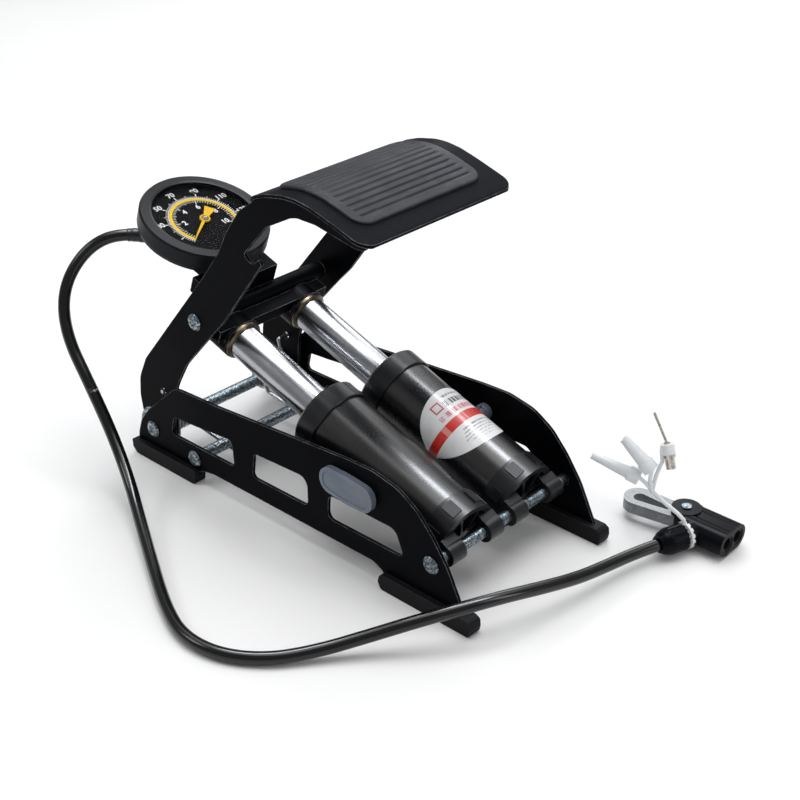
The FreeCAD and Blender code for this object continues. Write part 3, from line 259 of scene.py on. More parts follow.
MATS["valve_rubber"] = black_coat("valve_rubber", (0.010, 0.010, 0.010), (0.018, 0.0175, 0.017), (0.04, 0.04, 0.04), (0.42, 0.6), 1400, 0.05, 0.0005)
MATS["chuck_black"] = black_coat("chuck_black", (0.0026, 0.0028, 0.0048), (0.0042, 0.0046, 0.0072), (0.06, 0.065, 0.075), (0.22, 0.31), 2600, 0.015, 0.0005, 0.0, 2.5, 0.06, 0.15)

# hose: smooth, glossy, with very faint extrusion lines
q = Mat("hose_rubber", base=(0.004, 0.004, 0.005), rough=0.2, coat=0.12, coat_rough=0.10, spec=0.38)
f = q.noise(420, 3, 0.5)
q.color(q.ramp(f, [(0.3, (0.0030, 0.0032, 0.0038)), (0.75, (0.0052, 0.0055, 0.0064))]))
q.rough(q.val(q.noise(60, 3, 0.5), 0.15, 0.25, 0.3, 0.7))
q.bump(f, 0.12, 0.00003)
MATS["hose_rubber"] = q.m

# zinc plate: mottled blue-grey with darker passivated patches
q = Mat("zinc_plate", base=(0.4, 0.44, 0.48), rough=0.3, metallic=1.0)
f = q.noise(760, 3, 0.65, distort=0.5)
g = q.noise(110, 3, 0.6)
c = q.ramp(f, [(0.36, (0.025, 0.034, 0.043)), (0.5, (0.13, 0.165, 0.19)), (0.64, (0.58, 0.64, 0.68))])
q.color(q.mix(q.val(g, 0.0, 0.45, 0.4, 0.7), c, (0.12, 0.15, 0.172)))
q.rough(q.val(f, 0.44, 0.22, 0.3, 0.7))
q.bump(f, 0.7, 0.00022)
MATS["zinc_rod"] = q.m

q = Mat("spring_steel", base=(0.45, 0.46, 0.47), rough=0.28, metallic=1.0)
f = q.noise(500, 3, 0.6)
q.color(q.ramp(f, [(0.3, (0.20, 0.21, 0.22)), (0.7, (0.52, 0.53, 0.54))]))
q.rough(q.val(f, 0.22, 0.4, 0.3, 0.7))
q.bump(f, 0.25, 0.00005)
MATS["spring_steel"] = q.m

# chromed tube: bright, with fine circumferential polishing lines
TILT = math.radians(19.1721)
U = Vector((-math.cos(TILT), 0, math.sin(TILT)))
N = Vector((math.sin(TILT), 0, math.cos(TILT)))
q = Mat("chrome_tube", base=(0.72, 0.73, 0.75), rough=0.12, metallic=1.0)
f = q.noise(1.0, 3, 0.6, stretch=((0, 0, 0), (0, TILT, 0), (2600, 60, 60)))
g = q.noise(36, 4, 0.6)
q.color(q.ramp(g, [(0.3, (0.40, 0.41, 0.435)), (0.7, (0.47, 0.48, 0.50))]))
q.rough(q.math("ADD", q.val(f, 0.20, 0.25, 0.3, 0.7), q.val(g, 0.0, 0.03, 0.35, 0.7)))
MATS["chrome_tube"] = q.m

q = Mat("brass_parts", base=(0.6, 0.47, 0.26), rough=0.3, metallic=1.0)
f = q.noise(700, 3, 0.6)
q.color(q.ramp(q.noise(120, 3, 0.6), [(0.3, (0.075, 0.062, 0.045)), (0.7, (0.16, 0.13, 0.09))]))
q.rough(q.val(f, 0.24, 0.4, 0.3, 0.7))
q.bump(f, 0.2, 0.00004)
MATS["brass_parts"] = q.m

# satin grey badge with a paler rim, a painted edge highlight
q = Mat("badge_grey", base=(0.16, 0.18, 0.21), rough=0.36, coat=0.05, coat_rough=0.3, spec=0.35)
g = q.noise(60, 4, 0.6)
c = q.ramp(g, [(0.3, (0.120, 0.148, 0.190)), (0.7, (0.175, 0.210, 0.262))])
# paler rim: painted highlight along the badge's edges
q.color(q.mix(q.edge(0.0005, 3.0), c, (0.42, 0.46, 0.52)))
f = q.noise(2600, 2, 0.6)
q.rough(q.val(g, 0.30, 0.42, 0.3, 0.7))
q.bump(f, 0.4, 0.00006)
MATS["badge_grey"] = q.m

q = Mat("dial_black", base=(0.006, 0.006, 0.007), rough=0.5, spec=0.02)
f = q.noise(2400, 2, 0.6)
q.color(q.ramp(f, [(0.3, (0.0020, 0.0020, 0.0026)), (0.7, (0.0040, 0.0040, 0.0048))]))
q.rough(q.val(f, 0.46, 0.6, 0.3, 0.7))
q.bump(f, 0.3, 0.00003)
MATS["dial_black"] = q.m

q = Mat("needle_yellow", base=(0.92, 0.52, 0.02), rough=0.38, spec=0.06)
f = q.noise(700, 3, 0.6)
q.color(q.ramp(f, [(0.3, (0.95, 0.50, 0.010)), (0.7, (1.0, 0.66, 0.025))]))
q.rough(q.val(f, 0.32, 0.48, 0.3, 0.7))
q.bump(f, 0.2, 0.00003)
MATS["needle_yellow"] = q.m

q = Mat("dial_print_yellow", base=(0.92, 0.6, 0.02), rough=0.45, spec=0.06)
f = q.noise(900, 3, 0.6)
q.color(q.ramp(f, [(0.3, (0.95, 0.56, 0.010)), (0.7, (1.0, 0.72, 0.03))]))
q.rough(q.val(f, 0.4, 0.5, 0.3, 0.7))
MATS["print_yellow"] = q.m
q = Mat("dial_print_white", base=(0.85, 0.86, 0.88), rough=0.5, spec=0.1)
f = q.noise(900, 3, 0.6)
q.color(q.ramp(f, [(0.3, (0.88, 0.89, 0.90)), (0.7, (0.99, 0.99, 1.0))]))
q.rough(q.val(f, 0.42, 0.55, 0.3, 0.7))
MATS["print_white"] = q.m

# clear lens: a thin film of reflection over what lies behind
q = Mat("lens_clear", base=(0.01, 0.011, 0.012), rough=0.04, alpha=0.03, spec=0.35)
f = q.noise(40, 3, 0.5)
q.rough(q.val(f, 0.03, 0.09, 0.3, 0.7))
q.color(q.ramp(f, [(0.3, (0.008, 0.009, 0.010)), (0.7, (0.014, 0.015, 0.016))]))
MATS["lens_clear"] = q.m

q = Mat("ring_white", base=(0.8, 0.8, 0.79), rough=0.4, sss=0.1)
f = q.noise(800, 3, 0.6)
q.color(q.ramp(q.noise(150, 3, 0.6), [(0.3, (0.70, 0.71, 0.72)), (0.7, (0.88, 0.88, 0.88))]))
q.rough(q.val(f, 0.34, 0.5, 0.3, 0.7))
q.bump(f, 0.2, 0.00004)
MATS["ring_white"] = q.m

# smoky translucent lever
q = Mat("lever_grey", base=(0.20, 0.215, 0.235), rough=0.22, sss=0.2, coat=0.2, coat_rough=0.12)
g = q.noise(90, 4, 0.6)
c = q.ramp(g, [(0.3, (0.135, 0.145, 0.160)), (0.7, (0.225, 0.240, 0.262))])
# lighter edges: painted highlight along the lever's edges
q.color(q.mix(q.edge(0.0010, 3.0), c, (0.46, 0.48, 0.51)))
q.rough(q.val(g, 0.2, 0.34, 0.3, 0.7))
q.bump(q.noise(900, 3, 0.6), 0.12, 0.00004)
MATS["lever_grey"] = q.m

# milky nozzle plastic
q = Mat("strap_white", base=(0.8, 0.84, 0.88), rough=0.36, trans=0.12, sss=0.5)
g = q.noise(160, 4, 0.6)
c = q.ramp(g, [(0.3, (0.84, 0.88, 0.92)), (0.7, (0.93, 0.95, 0.97))])
# slightly paler edges: painted highlight along the rims
q.color(q.mix(q.edge(0.0006, 2.5), c, (0.93, 0.95, 0.97)))
q.rough(q.val(g, 0.3, 0.44, 0.3, 0.7))
q.bump(q.noise(1100, 3, 0.6), 0.12, 0.00004)
MATS["strap_white"] = q.m

q = Mat("needle_nickel", base=(0.62, 0.58, 0.52), rough=0.24, metallic=1.0)
f = q.noise(600, 3, 0.6)
q.color(q.ramp(f, [(0.3, (0.46, 0.42, 0.36)), (0.7, (0.72, 0.69, 0.64))]))
q.rough(q.val(f, 0.16, 0.32, 0.3, 0.7))
q.bump(f, 0.15, 0.00003)
MATS["needle_metal"] = q.m

# pedal pad: dark rubber, paler where it has been rubbed, with a painted highlight along its edges
q = Mat("pad_rubber", base=(0.035, 0.038, 0.043), rough=0.5, spec=0.14)
rub = q.noise(34, 5, 0.65, distort=0.4)
f = q.noise(1500, 3, 0.65)
scuff = q.noise(1.0, 4, 0.65, stretch=((0, 0, 0), (0, 0, 0.35), (240, 70, 120)))
c = q.ramp(rub, [(0.3, (0.010, 0.0115, 0.0155)), (0.6, (0.017, 0.019, 0.025)), (0.8, (0.027, 0.030, 0.038))])
c = q.mix(q.val(scuff, 0.0, 0.45, 0.55, 0.75), c, (0.070, 0.076, 0.088))
# paler rim: painted highlight along the pad's edges
q.color(q.mix(q.math("MULTIPLY", q.edge(0.0008, 2.0), 0.5), c, (0.090, 0.097, 0.110)))
q.rough(q.math("ADD", q.val(rub, 0.56, 0.40, 0.3, 0.7), q.val(f, -0.05, 0.05)))
q.bump(f, 0.45, 0.00012)
MATS["pad_rubber"] = q.m

# printed label: white film, a red band round the barrel, faint rules
BAR0 = R(237.4, 27.5, 31.8) - N * 0.003          # start of the right barrel's axis
q = Mat("label_print", base=(0.86, 0.87, 0.88), rough=0.28, coat=0.25, coat_rough=0.12)
s = q.dot(tuple(U), tuple(BAR0))                  # metres along the barrel
y = q.dot((0, 1, 0), tuple(BAR0))                 # metres across it


def band(sig, lo, hi, soft=0.00012):
    a = q.val(sig, 0.0, 1.0, lo - soft, lo + soft)
    b = q.val(sig, 1.0, 0.0, hi - soft, hi + soft)
    return q.math("MULTIPLY", a, b)


paper = q.ramp(q.noise(90, 4, 0.6), [(0.3, (0.78, 0.79, 0.81)), (0.7, (0.92, 0.92, 0.93))])
red = q.ramp(q.noise(120, 4, 0.6), [(0.3, (0.60, 0.022, 0.014)), (0.7, (0.78, 0.045, 0.030))])
c = q.mix(band(s, 0.0570, 0.0634), paper, red)
# two pale streaks along the barrel on the red band: painted highlights
pale = q.math("MULTIPLY", band(s, 0.0570, 0.0634), band(y, -0.0170, -0.0145))
pale2 = q.math("MULTIPLY", band(s, 0.0570, 0.0634), band(y, -0.0020, -0.0008))
c = q.mix(q.math("MULTIPLY", q.math("ADD", pale, pale2), 0.5), c, (0.9, 0.55, 0.5))
for k, (lo, hi, a, b, tone) in enumerate([
        (0.0528, 0.0540, -0.0100, 0.0190, (0.20, 0.21, 0.24)), (0.0506, 0.0515, -0.0110, 0.0190, (0.30, 0.31, 0.34)),
        (0.0485, 0.0493, -0.0120, 0.0185, (0.28, 0.29, 0.33)), (0.0464, 0.0472, -0.0130, 0.0180, (0.32, 0.33, 0.37)),
        (0.0443, 0.0450, -0.0110, 0.0170, (0.40, 0.41, 0.45)), (0.0422, 0.0429, -0.0080, 0.0120, (0.45, 0.46, 0.5)),
        (0.0655, 0.0690, -0.0140, 0.0150, (0.66, 0.10, 0.13)), (0.0716, 0.0758, -0.0060, 0.0150, (0.030, 0.028, 0.035)),
        (0.0780, 0.0796, -0.0040, 0.0110, (0.10, 0.10, 0.12))]):
    w = q.math("MULTIPLY", band(s, lo, hi), band(y, a, b))
    dash = q.noise(1.0, 2, 0.8, stretch=((0, 0, 0), (0, 0, 0), (30, 900 + 90 * k, 30)))
    w = q.math("MULTIPLY", w, q.val(dash, 0.05, 0.95, 0.47, 0.52))
    c = q.mix(w, c, tone)
# a plain square outline beside the rules
sq = q.math("MULTIPLY", band(s, 0.0716, 0.0778), band(y, -0.0132, -0.0076))
sq2 = q.math("MULTIPLY", band(s, 0.0724, 0.0770), band(y, -0.0125, -0.0083))
c = q.mix(q.math("SUBTRACT", sq, sq2), c, (0.62, 0.03, 0.03))
q.color(c)
q.rough(q.val(q.noise(70, 3, 0.5), 0.22, 0.36, 0.3, 0.7))
q.bump(q.noise(300, 3, 0.5), 0.08, 0.00005)
MATS["label_print"] = q.m

# ------------------------------------------------- materials on CAD nodes
slot_of = {}
for sp in frame["record"].get("subparts", []):
    slot_of[sp["node"]] = sp["material_slot"]
special = {"pedal_plate": "pedal_paint", "chuck_body": "chuck_black", "hose_nut": "chuck_black"}
for name, ob in nodes.items():
    key = special.get(name, slot_of.get(name, "black_paint"))
    mat = MATS[key]
    if not ob.data.materials:
        ob.data.materials.append(mat)
    for k in range(len(ob.material_slots)):
        ob.material_slots[k].material = mat


# ------------------------------------------------------------ mesh helpers
def new_mesh(name, verts, faces, mat, smooth=True, body=None):
    me = bpy.data.meshes.new(name)
    me.from_pydata([tuple(p) for p in verts], [], faces)
    bm = bmesh.new()
    bm.from_mesh(me)
    bmesh.ops.recalc_face_normals(bm, faces=bm.faces)
    bm.to_mesh(me)
    bm.free()
    for p in me.polygons:
        p.use_smooth = smooth
    me.materials.append(mat)
    ob = bpy.data.objects.new(name, me)
    scene.collection.objects.link(ob)
    if body:
        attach(ob, body)
    return ob


def ring_frames(line):
    """A frame at each point of a line that turns as little as it can."""
    out = []
    tan = []
    for k in range(len(line)):
        a, b = line[max(k - 1, 0)], line[min(k + 1, len(line) - 1)]
        tan.append((b - a).normalized())
    ref = Vector((0, 0, 1)) if abs(tan[0].z) < 0.9 else Vector((1, 0, 0))
    n = (ref - tan[0] * ref.dot(tan[0])).normalized()
    for k, t in enumerate(tan):
        n = (n - t * n.dot(t)).normalized()
        out.append((t, n, t.cross(n)))
    return out


def tube(name, line, radii, mat, sides=32, caps=True, body=None, frames=None):
    """Round tube along a line of points; radii is one number or one for each point."""
    if not hasattr(radii, "__len__"):
        radii = [radii] * len(line)
    fr = frames or ring_frames(line)
    vs, fs = [], []
    for p, r, (t, n, b) in zip(line, radii, fr):
        for k in range(sides):
            a = 2 * math.pi * k / sides
            vs.append(p + (n * math.cos(a) + b * math.sin(a)) * r)
    for j in range(len(line) - 1):
        for k in range(sides):
            k2 = (k + 1) % sides
            fs.append((j * sides + k, j * sides + k2, (j + 1) * sides + k2, (j + 1) * sides + k))
    if caps:
        fs.append(tuple(range(sides)))
        fs.append(tuple((len(line) - 1) * sides + k for k in range(sides)))
    ob = new_mesh(name, vs, fs, mat, True, body)
    for p in ob.data.polygons:
        if len(p.vertices) > 4:
            p.use_smooth = False
    return ob


# --------------------------------------------------------------- the hose
HOSE = [R(-17.5, -28.3, 139.6), R(-34.5, -43.5, 143.6), R(-47.8, -62.5, 136.0), R(-53.0, -80.5, 113.0), R(-42.5, -90.0, 87.5),
        R(-13.5, -94.5, 60.0), R(6.0, -96.5, 36.0), R(31.0, -105.5, 18.5), R(60.0, -121.0, 9.0), R(97.0, -142.0, 5.2),
        R(131.0, -161.0, 4.3), R(157.0, -171.0, 4.0), R(183.0, -168.5, 4.0), R(205.0, -154.0, 4.2), R(221.0, -132.5, 6.0),
        R(237.5, -110.0, 12.0), R(254.0, -91.0, 19.5), R(268.0, -71.0, 24.0), R(277.5, -47.0, 23.5), R(284.8, -20.0, 19.0),
        R(289.6, 5.5, 14.2), R(291.8, 28.5, 11.0), R(295.0, 50.4, 9.6), R(300.5, 67.9, 9.6)]
HOSE_R = 0.00375


def nurbs_line(name, pts):
    cu = bpy.data.curves.new(name, "CURVE")
    cu.dimensions = "3D"
    cu.resolution_u = 16
    sp = cu.splines.new("NURBS")
    sp.points.add(len(pts) - 1)
    for p, c in zip(sp.points, pts):
        p.co = (*c, 1)
    sp.order_u = 3
    sp.use_endpoint_u = True
    ob = bpy.data.objects.new(name, cu)
    scene.collection.objects.link(ob)
    bpy.context.view_layer.update()
    me = bpy.data.meshes.new_from_object(ob)
    line = [v.co.copy() for v in me.vertices]
    bpy.data.meshes.remove(me)
    bpy.data.objects.remove(ob)
    bpy.data.curves.remove(cu)
    return line


line = nurbs_line("hose_route", HOSE)
fr = ring_frames(line)
SPLIT = R(-13.5, -94.5, 60.0)
cut = min(range(len(line)), key=lambda k: (line[k] - SPLIT).length)
upper, lower = line[:cut + 1], line[cut:]
hose_a = tube("hose_upper", upper, HOSE_R, MATS["hose_rubber"], 36, True, None, fr[:cut + 1])
hose_b = tube("hose_lower", lower, HOSE_R, MATS["hose_rubber"], 36, True, None, fr[cut:])
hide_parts("air_hose")
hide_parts("air_hose")
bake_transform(hose_a)
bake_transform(hose_b)
# tapered strain relief over the first 22 mm
rel = []
dist = 0.0
for k, p in enumerate(line):
    if k:
        dist += (p - line[k - 1]).length
    if dist > 0.022:
        break
    rel.append((p, dist, fr[k]))
fine, finef, finer = [], [], []
STEPS = 60
span = rel[-1][1]
for j in range(STEPS + 1):
    d = span * j / STEPS
    k = max(i for i, r in enumerate(rel) if r[1] <= d + 1e-12)
    k2 = min(k + 1, len(rel) - 1)
    w = 0 if k2 == k else (d - rel[k][1]) / (rel[k2][1] - rel[k][1])
    fine.append(rel[k][0].lerp(rel[k2][0], w))
    finef.append(rel[k][2])
    taper = 0.0052 + (0.0041 - 0.0052) * (j / STEPS)
    groove = 0.00018 * (0.5 - 0.5 * math.cos(2 * math.pi * 5.0 * j / STEPS)) if 4 < j < STEPS - 4 else 0.0
    end = 0.0004 if j in (0, STEPS) else 0.0
    finer.append(taper - groove - end)
relief = tube("hose_strain_relief", fine, finer, MATS["plastic_black"], 32, True, None, finef)
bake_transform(relief)

# ---------------------------------------------------------- return springs
SW, SR = 0.00125, 0.0066
for side, s in (("left", -1), ("right", 1)):
    nd = "%s_return_spring" % side
    lo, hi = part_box(nd)
    y_out = s * (52.5 - 0.4 - 0.0) / 1000.0
    # the coil: turns round the axle, from the arm inwards
    turns = 5.0
    pitch = 2 * SW + 0.00035
    y_in_edge = lo.y if s > 0 else hi.y
    ya = y_in_edge + s * (SW + 0.0001 + turns * pitch)
    yb = y_in_edge + s * (SW + 0.0001)
    coil = []
    steps = 300
    for k in range(steps + 1):
        a = 2 * math.pi * turns * k / steps
        yy = ya + (yb - ya) * k / steps
        coil.append(R(0, 0, 22.4) + Vector((SR * math.cos(a), yy, -SR * math.sin(a))))
    low_leg = [coil[-1], R(9.0, 0, 15.9) + Vector((0, yb, 0)), R(43.8, 0, 16.8 - 4.0 - 1.25 - 0.1) + Vector((0, yb, 0))]
    dense = list(coil)
    for a, b in zip(low_leg[:-1], low_leg[1:]):
        for j in range(1, 13):
            dense.append(a.lerp(b, j / 12))
    o1 = tube(nd + "_coil", dense, SW, MATS["spring_steel"], 14, True, "base")
    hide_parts(nd)
    leg = [Vector(coil[0]), R(10.1, 0, 36.4) + Vector((0, ya, 0)), R(5.6, 0, 49.6) + Vector((0, ya, 0)), R(5.6, s * 55.7, 49.6)]
    dense = []
    for j in range(3):
        a, b = leg[j], leg[j + 1]
        for i in range(14):
            dense.append(a.lerp(b, i / 14))
    dense.append(leg[-1])
    sm = [dense[0]] + [(dense[k - 1] + dense[k] * 2 + dense[k + 1]) / 4 for k in range(1, len(dense) - 1)] + [dense[-1]]
    o2 = tube(nd + "_leg", sm, SW, MATS["spring_steel"], 14, True, "pedal_lever")
    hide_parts(nd)

# --------------------------------------------------------------- pedal pad
TOP = [(98.6, 205.5), (106.0, 210.6), (116.0, 214.2), (129.0, 216.9), (138.0, 217.3), (148.0, 216.2), (160.0, 213.2),
       (175.0, 208.8), (187.5, 204.9), (189.8, 204.0)]


def smooth_top(n):
    """The pedal's top line as a smooth curve of n points (x, z), through its own points."""
    pts = [Vector(p) for p in TOP]
    out = []
    for k in range(len(pts) - 1):
        p0 = pts[max(k - 1, 0)]
        p1, p2 = pts[k], pts[k + 1]
        p3 = pts[min(k + 2, len(pts) - 1)]
        for j in range(n):
            t = j / n
            out.append(0.5 * ((2 * p1) + (p2 - p0) * t + (2 * p0 - 5 * p1 + 4 * p2 - p3) * t * t + (3 * p1 - p0 - 3 * p2 + p3) * t ** 3))
    out.append(pts[-1])
    return out


prof = smooth_top(40)


def top_at(x):
    for a, b in zip(prof[:-1], prof[1:]):
        if a.x <= x <= b.x:
            w = (x - a.x) / max(b.x - a.x, 1e-9)
            z = a.y + (b.y - a.y) * w
            t = (b - a).normalized()
            return z, Vector((-t.y, t.x))
    return prof[-1].y, Vector((0, 1))


X0, X1, HALF, CORNER, THICK = 110.0, 176.8, 50.0, 10.0, 2.8


def inset(x, y):
    """Distance inside the rounded outline, and the outward direction."""
    mx, hx = (X0 + X1) / 2, (X1 - X0) / 2
    dx, dy = abs(x - mx) - (hx - CORNER), abs(y) - (HALF - CORNER)
    if dx > 0 and dy > 0:
        r = math.hypot(dx, dy)
        return CORNER - r, Vector((dx / r * (1 if x > mx else -1), dy / r * (1 if y > 0 else -1)))
    if dx > dy:
        return CORNER - dx, Vector((1 if x > mx else -1, 0))
    return CORNER - dy, Vector((0, 1 if y > 0 else -1))


NX, NY = 170, 150
RIBS = 12
verts, faces, index = [], [], {}
raw = {}
for i in range(NX + 1):
    for j in range(NY + 1):
        x = X0 + (X1 - X0) * i / NX
        y = -HALF + 2 * HALF * j / NY
        raw[i, j] = (x, y, inset(x, y))


def pad_vertex(i, j):
    if (i, j) in index:
        return index[i, j]
    x, y, (d, out) = raw[i, j]
    if d < 0:
        x, y = x + out.x * d, y + out.y * d
        d = 0.0
    z, nrm = top_at(x)
    k = min(d / 1.9, 1.0)
    h = THICK * (0.20 + 0.32 * math.sqrt(max(0.0, 1 - (1 - k) ** 2)))
    # grooves across the pad, ending in round tips short of the rim
    u = (x - X0 - 4.6) / (X1 - X0 - 9.2) * RIBS
    ph = abs((u % 1.0) - 0.5) * 2
    if -0.5 < u < RIBS + 0.5:
        tip = min(1.0, max(0.0, (HALF - 5.4 - abs(y)) / 1.6))
        edge = min(1.0, max(0.0, (d - 3.0) / 1.2))
        g = max(0.0, 1.0 - ph / 0.52)
        h -= 0.62 * (g * g * (3 - 2 * g)) * tip * edge
    index[i, j] = len(verts)
    verts.append(R(x + nrm.x * h, y, z + nrm.y * h))
    return index[i, j]


rim = {}
for i in range(NX):
    for j in range(NY):
        c4 = [(i, j), (i + 1, j), (i + 1, j + 1), (i, j + 1)]
        if max(raw[c][2][0] for c in c4) <= 0.02:
            continue
        faces.append(tuple(pad_vertex(*c) for c in c4))
# skirt down to the pedal
edges = {}
for f in faces:
    for a, b in zip(f, f[1:] + f[:1]):
        key = (min(a, b), max(a, b))
        edges[key] = edges.get(key, 0) + 1
border = [k for k, n in edges.items() if n == 1]
back_of = {v: k for k, v in index.items()}
low = {}
for a, b in border:
    for v in (a, b):
        if v not in low:
            x, y, (d, out) = raw[back_of[v]]
            if d < 0:
                x, y = x + out.x * d, y + out.y * d
            z, nrm = top_at(x)
            low[v] = len(verts)
            verts.append(R(x + nrm.x * 0.05, y, z + nrm.y * 0.05))
    faces.append((a, b, low[b], low[a]))
pad = new_mesh("pedal_pad_ribbed", verts, faces, MATS["pad_rubber"], True, "pedal_lever")
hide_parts("pedal_pad")

# --------------------------------------------------------- dial's printing
G0 = R(6.32400781, -17.0, 141.78737083)
GX, GY, GZ = -U, Vector((0, 1, 0)), N
ZERO = math.radians(-55.0)
SWEEP = math.radians(245.0)


def gp(r, ang, h):
    return G0 + (GX * (math.cos(ang) * r) + GY * (math.sin(ang) * r) + GZ * h) / 1000.0


def scale_angle(f):
    return ZERO - SWEEP * f


def strip(vs, fs, r0, r1, f, w0, w1, h0=15.12, h1=15.22):
    """One raised tick from radius r0 to r1 (widths w0, w1 in mm)."""
    a = scale_angle(f)
    d = GX * math.cos(a) + GY * math.sin(a)
    t = GX * -math.sin(a) + GY * math.cos(a)
    base = len(vs)
    for h in (h0, h1):
        for r, w in ((r0, w0), (r1, w1)):
            for sgn in (-1, 1):
                vs.append(G0 + (d * r + t * (sgn * w / 2) + GZ * h) / 1000.0)
    b = base
    fs += [(b + 4, b + 5, b + 7, b + 6), (b, b + 2, b + 3, b + 1), (b, b + 1, b + 5, b + 4), (b + 2, b + 6, b + 7, b + 3), (b, b + 4, b + 6, b + 2), (b + 1, b + 3, b + 7, b + 5)]


vs, fs = [], []
for k in range(0, 146, 2):
    strip(vs, fs, 21.7, 23.7, k / 145, 0.30, 0.36)
for k in range(10, 131, 20):
    strip(vs, fs, 21.7, 26.0, k / 145, 0.45, 0.70)
for k in range(20, 145, 20):
    strip(vs, fs, 21.7, 24.7, k / 145, 0.36, 0.45)
for k in range(51):
    big = k % 10 == 0
    mid = k % 5 == 0
    strip(vs, fs, 16.2 if big else (17.0 if mid else 17.7), 19.4, k / 50, 0.56 if big else 0.34, 0.5 if big else 0.36)
ticks = new_mesh("dial_ticks", vs, fs, MATS["print_white"], False, "cross_beam")


def arc(name, r0, r1, f0, f1, mat, h0=15.12, h1=15.24, n=160):
    vs, fs = [], []
    for k in range(n + 1):
        a = scale_angle(f0 + (f1 - f0) * k / n)
        for h, r in ((h0, r0), (h0, r1), (h1, r1), (h1, r0)):
            vs.append(gp(r, a, h))
    for k in range(n):
        for j in range(4):
            j2 = (j + 1) % 4
            fs.append((4 * k + j, 4 * k + j2, 4 * k + 4 + j2, 4 * k + 4 + j))
    fs += [(0, 1, 2, 3), (4 * n, 4 * n + 1, 4 * n + 2, 4 * n + 3)]
    return new_mesh(name, vs, fs, mat, False, "cross_beam")


arc("dial_yellow_arc", 19.7, 21.6, -0.004, 1.004, MATS["print_yellow"])
arc("dial_white_line", 21.9, 22.25, 0.0, 1.0, MATS["print_white"])


def number(name, text, r, f, size, turn=0.0):
    """A number lying on the dial, its top towards the dial's own top."""
    cu = bpy.data.curves.new(name, "FONT")
    cu.body = text
    cu.size = size / 1000.0
    cu.align_x = "CENTER"
    cu.align_y = "CENTER"
    cu.extrude = 0.00004
    cu.offset = 0.00014
    ob = bpy.data.objects.new(name, cu)
    scene.collection.objects.link(ob)
    a = scale_angle(f)
    centre = gp(r, a, 15.18)
    upd = (GX * math.cos(UP_ANG) + GY * math.sin(UP_ANG)).normalized()
    rgt = upd.cross(GZ)
    mm = Matrix((rgt, upd, GZ)).transposed().to_4x4()
    mm.translation = centre
    bpy.context.view_layer.update()
    me = bpy.data.meshes.new_from_object(ob)
    me.transform(mm)
    bpy.data.objects.remove(ob)
    bpy.data.curves.remove(cu)
    me.materials.clear()
    me.materials.append(MATS["print_white"])
    o = bpy.data.objects.new(name, me)
    scene.collection.objects.link(o)
    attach(o, "cross_beam")
    return o


# turned cap on the needle's hub: a shallow dished screw head
vs, fs = [], []
prof_cap = [(2.35, 17.1), (2.3, 17.35), (1.9, 17.55), (1.2, 17.5), (0.75, 17.3), (0.0, 17.25)]
for r, h in prof_cap[:-1]:
    for k in range(32):
        vs.append(gp(r, 2 * math.pi * k / 32, h))
for j in range(len(prof_cap) - 2):
    for k in range(32):
        k2 = (k + 1) % 32
        fs.append((32 * j + k, 32 * j + k2, 32 * j + 32 + k2, 32 * j + 32 + k))
fs.append(tuple(32 * (len(prof_cap) - 2) + k for k in range(32)))
fs.append(tuple(range(32)))
hub = new_mesh("needle_hub_cap", vs, fs, MATS["brass_parts"], True, "needle")

UP_ANG = ZERO - SWEEP / 2                 # the middle of the scale is the dial's top
for k in range(30, 131, 20):
    number("dial_number_outer_%d" % k, str(k), 28.9, k / 145, 5.4)
for k, t in enumerate(("2", "4", "6", "8", "10")):
    number("dial_number_inner_%d" % (k + 1), t, 13.2, (k + 1) / 5, 5.4)

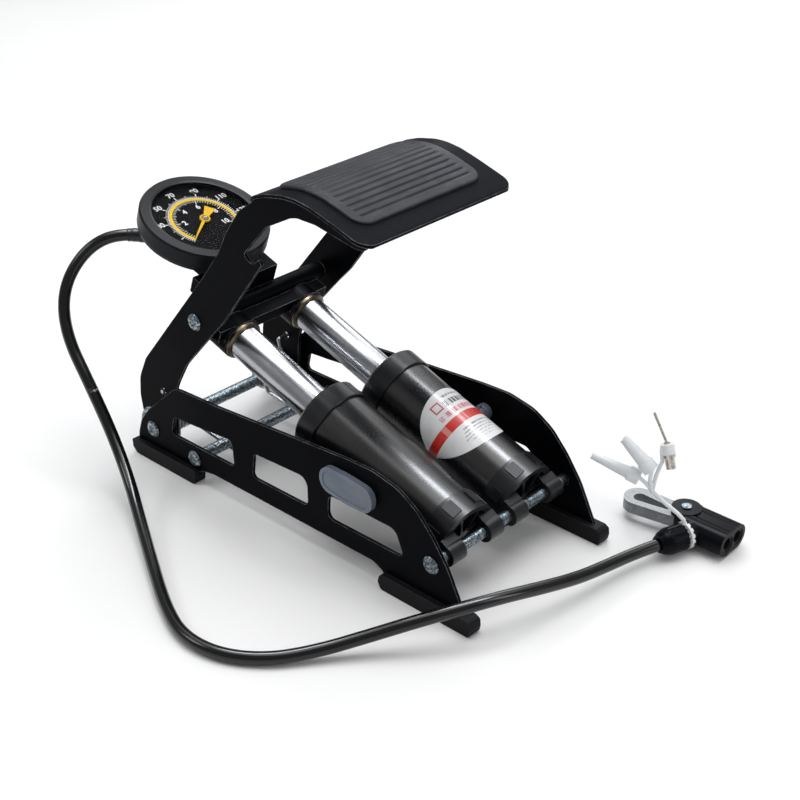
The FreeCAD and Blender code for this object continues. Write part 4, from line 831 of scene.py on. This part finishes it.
# --------------------------------------------------- floor, light and world
fm = Mat("floor_pale", base=(0.93, 0.93, 0.93), rough=0.6, spec=0.2)
fm.color(fm.ramp(fm.noise(3.0, 4, 0.5), [(0.3, (0.915, 0.917, 0.92)), (0.7, (0.945, 0.945, 0.948))]))
fm.rough(fm.val(fm.noise(18, 4, 0.5), 0.55, 0.68, 0.3, 0.7))
fm.bump(fm.noise(500, 2, 0.5), 0.05, 0.00005)
vs, fs = [], []
nseg = 96
for k in range(nseg):
    a = 2 * math.pi * k / nseg
    for r, z in ((0.02, -0.0002), (2.0, -0.0002), (6.0, -0.0002)):
        vs.append(Vector((r * math.cos(a), r * math.sin(a), z)))
for k in range(nseg):
    k2 = (k + 1) % nseg
    for j in range(2):
        fs.append((3 * k + j, 3 * k + j + 1, 3 * k2 + j + 1, 3 * k2 + j))
fs.append(tuple(3 * k for k in range(nseg)))
floor = new_mesh("floor", vs, fs, fm.m, False)


def area(name, loc, target, size, power, col=(1, 1, 1), size_y=None, diffuse=True):
    ld = bpy.data.lights.new(name, "AREA")
    ld.energy = power
    ld.color = col
    ld.shape = "RECTANGLE"
    ld.size = size
    ld.size_y = size_y or size
    ob = bpy.data.objects.new(name, ld)
    scene.collection.objects.link(ob)
    ob.location = loc
    ob.rotation_mode = "QUATERNION"
    ob.rotation_quaternion = (Vector(target) - Vector(loc)).to_track_quat("-Z", "Y")
    ob.visible_diffuse = diffuse
    return ob


area("top_strip", (-0.12, 0.33, 1.35), (0, 0.01, 0.05), 1.3, 24, (0.90, 0.94, 1.0), 0.26, False)
area("top_fill", (0.0, 0.1, 1.5), (0, 0, 0.05), 1.2, 7, (1, 1, 1), 1.2)
area("left_key", (-0.95, -0.95, 1.15), (0, 0, 0.08), 0.55, 4.5, (0.97, 0.985, 1.0), 0.55)
area("right_strip", (1.25, 0.35, 0.75), (0, 0, 0.08), 0.25, 2.8, (1, 1, 1), 0.9)
area("back_rim", (-0.7, 1.2, 0.8), (0, 0, 0.12), 0.5, 4.0, (0.97, 0.985, 1.0), 0.5)
sd = bpy.data.lights.new("sky_soft", "SUN")
sd.energy = 1.35
sd.angle = math.radians(70)
sun = bpy.data.objects.new("sky_soft", sd)
scene.collection.objects.link(sun)
sun.rotation_mode = "QUATERNION"
sun.rotation_quaternion = Vector((0.12, -0.28, -0.95)).to_track_quat("-Z", "Y")

w = bpy.data.worlds.new("studio")
scene.world = w
w.use_nodes = True
bg = w.node_tree.nodes["Background"]
bg.inputs["Color"].default_value = (1.0, 1.0, 1.0, 1)
bg.inputs["Strength"].default_value = 0.30
scene.view_settings.view_transform = "Standard"
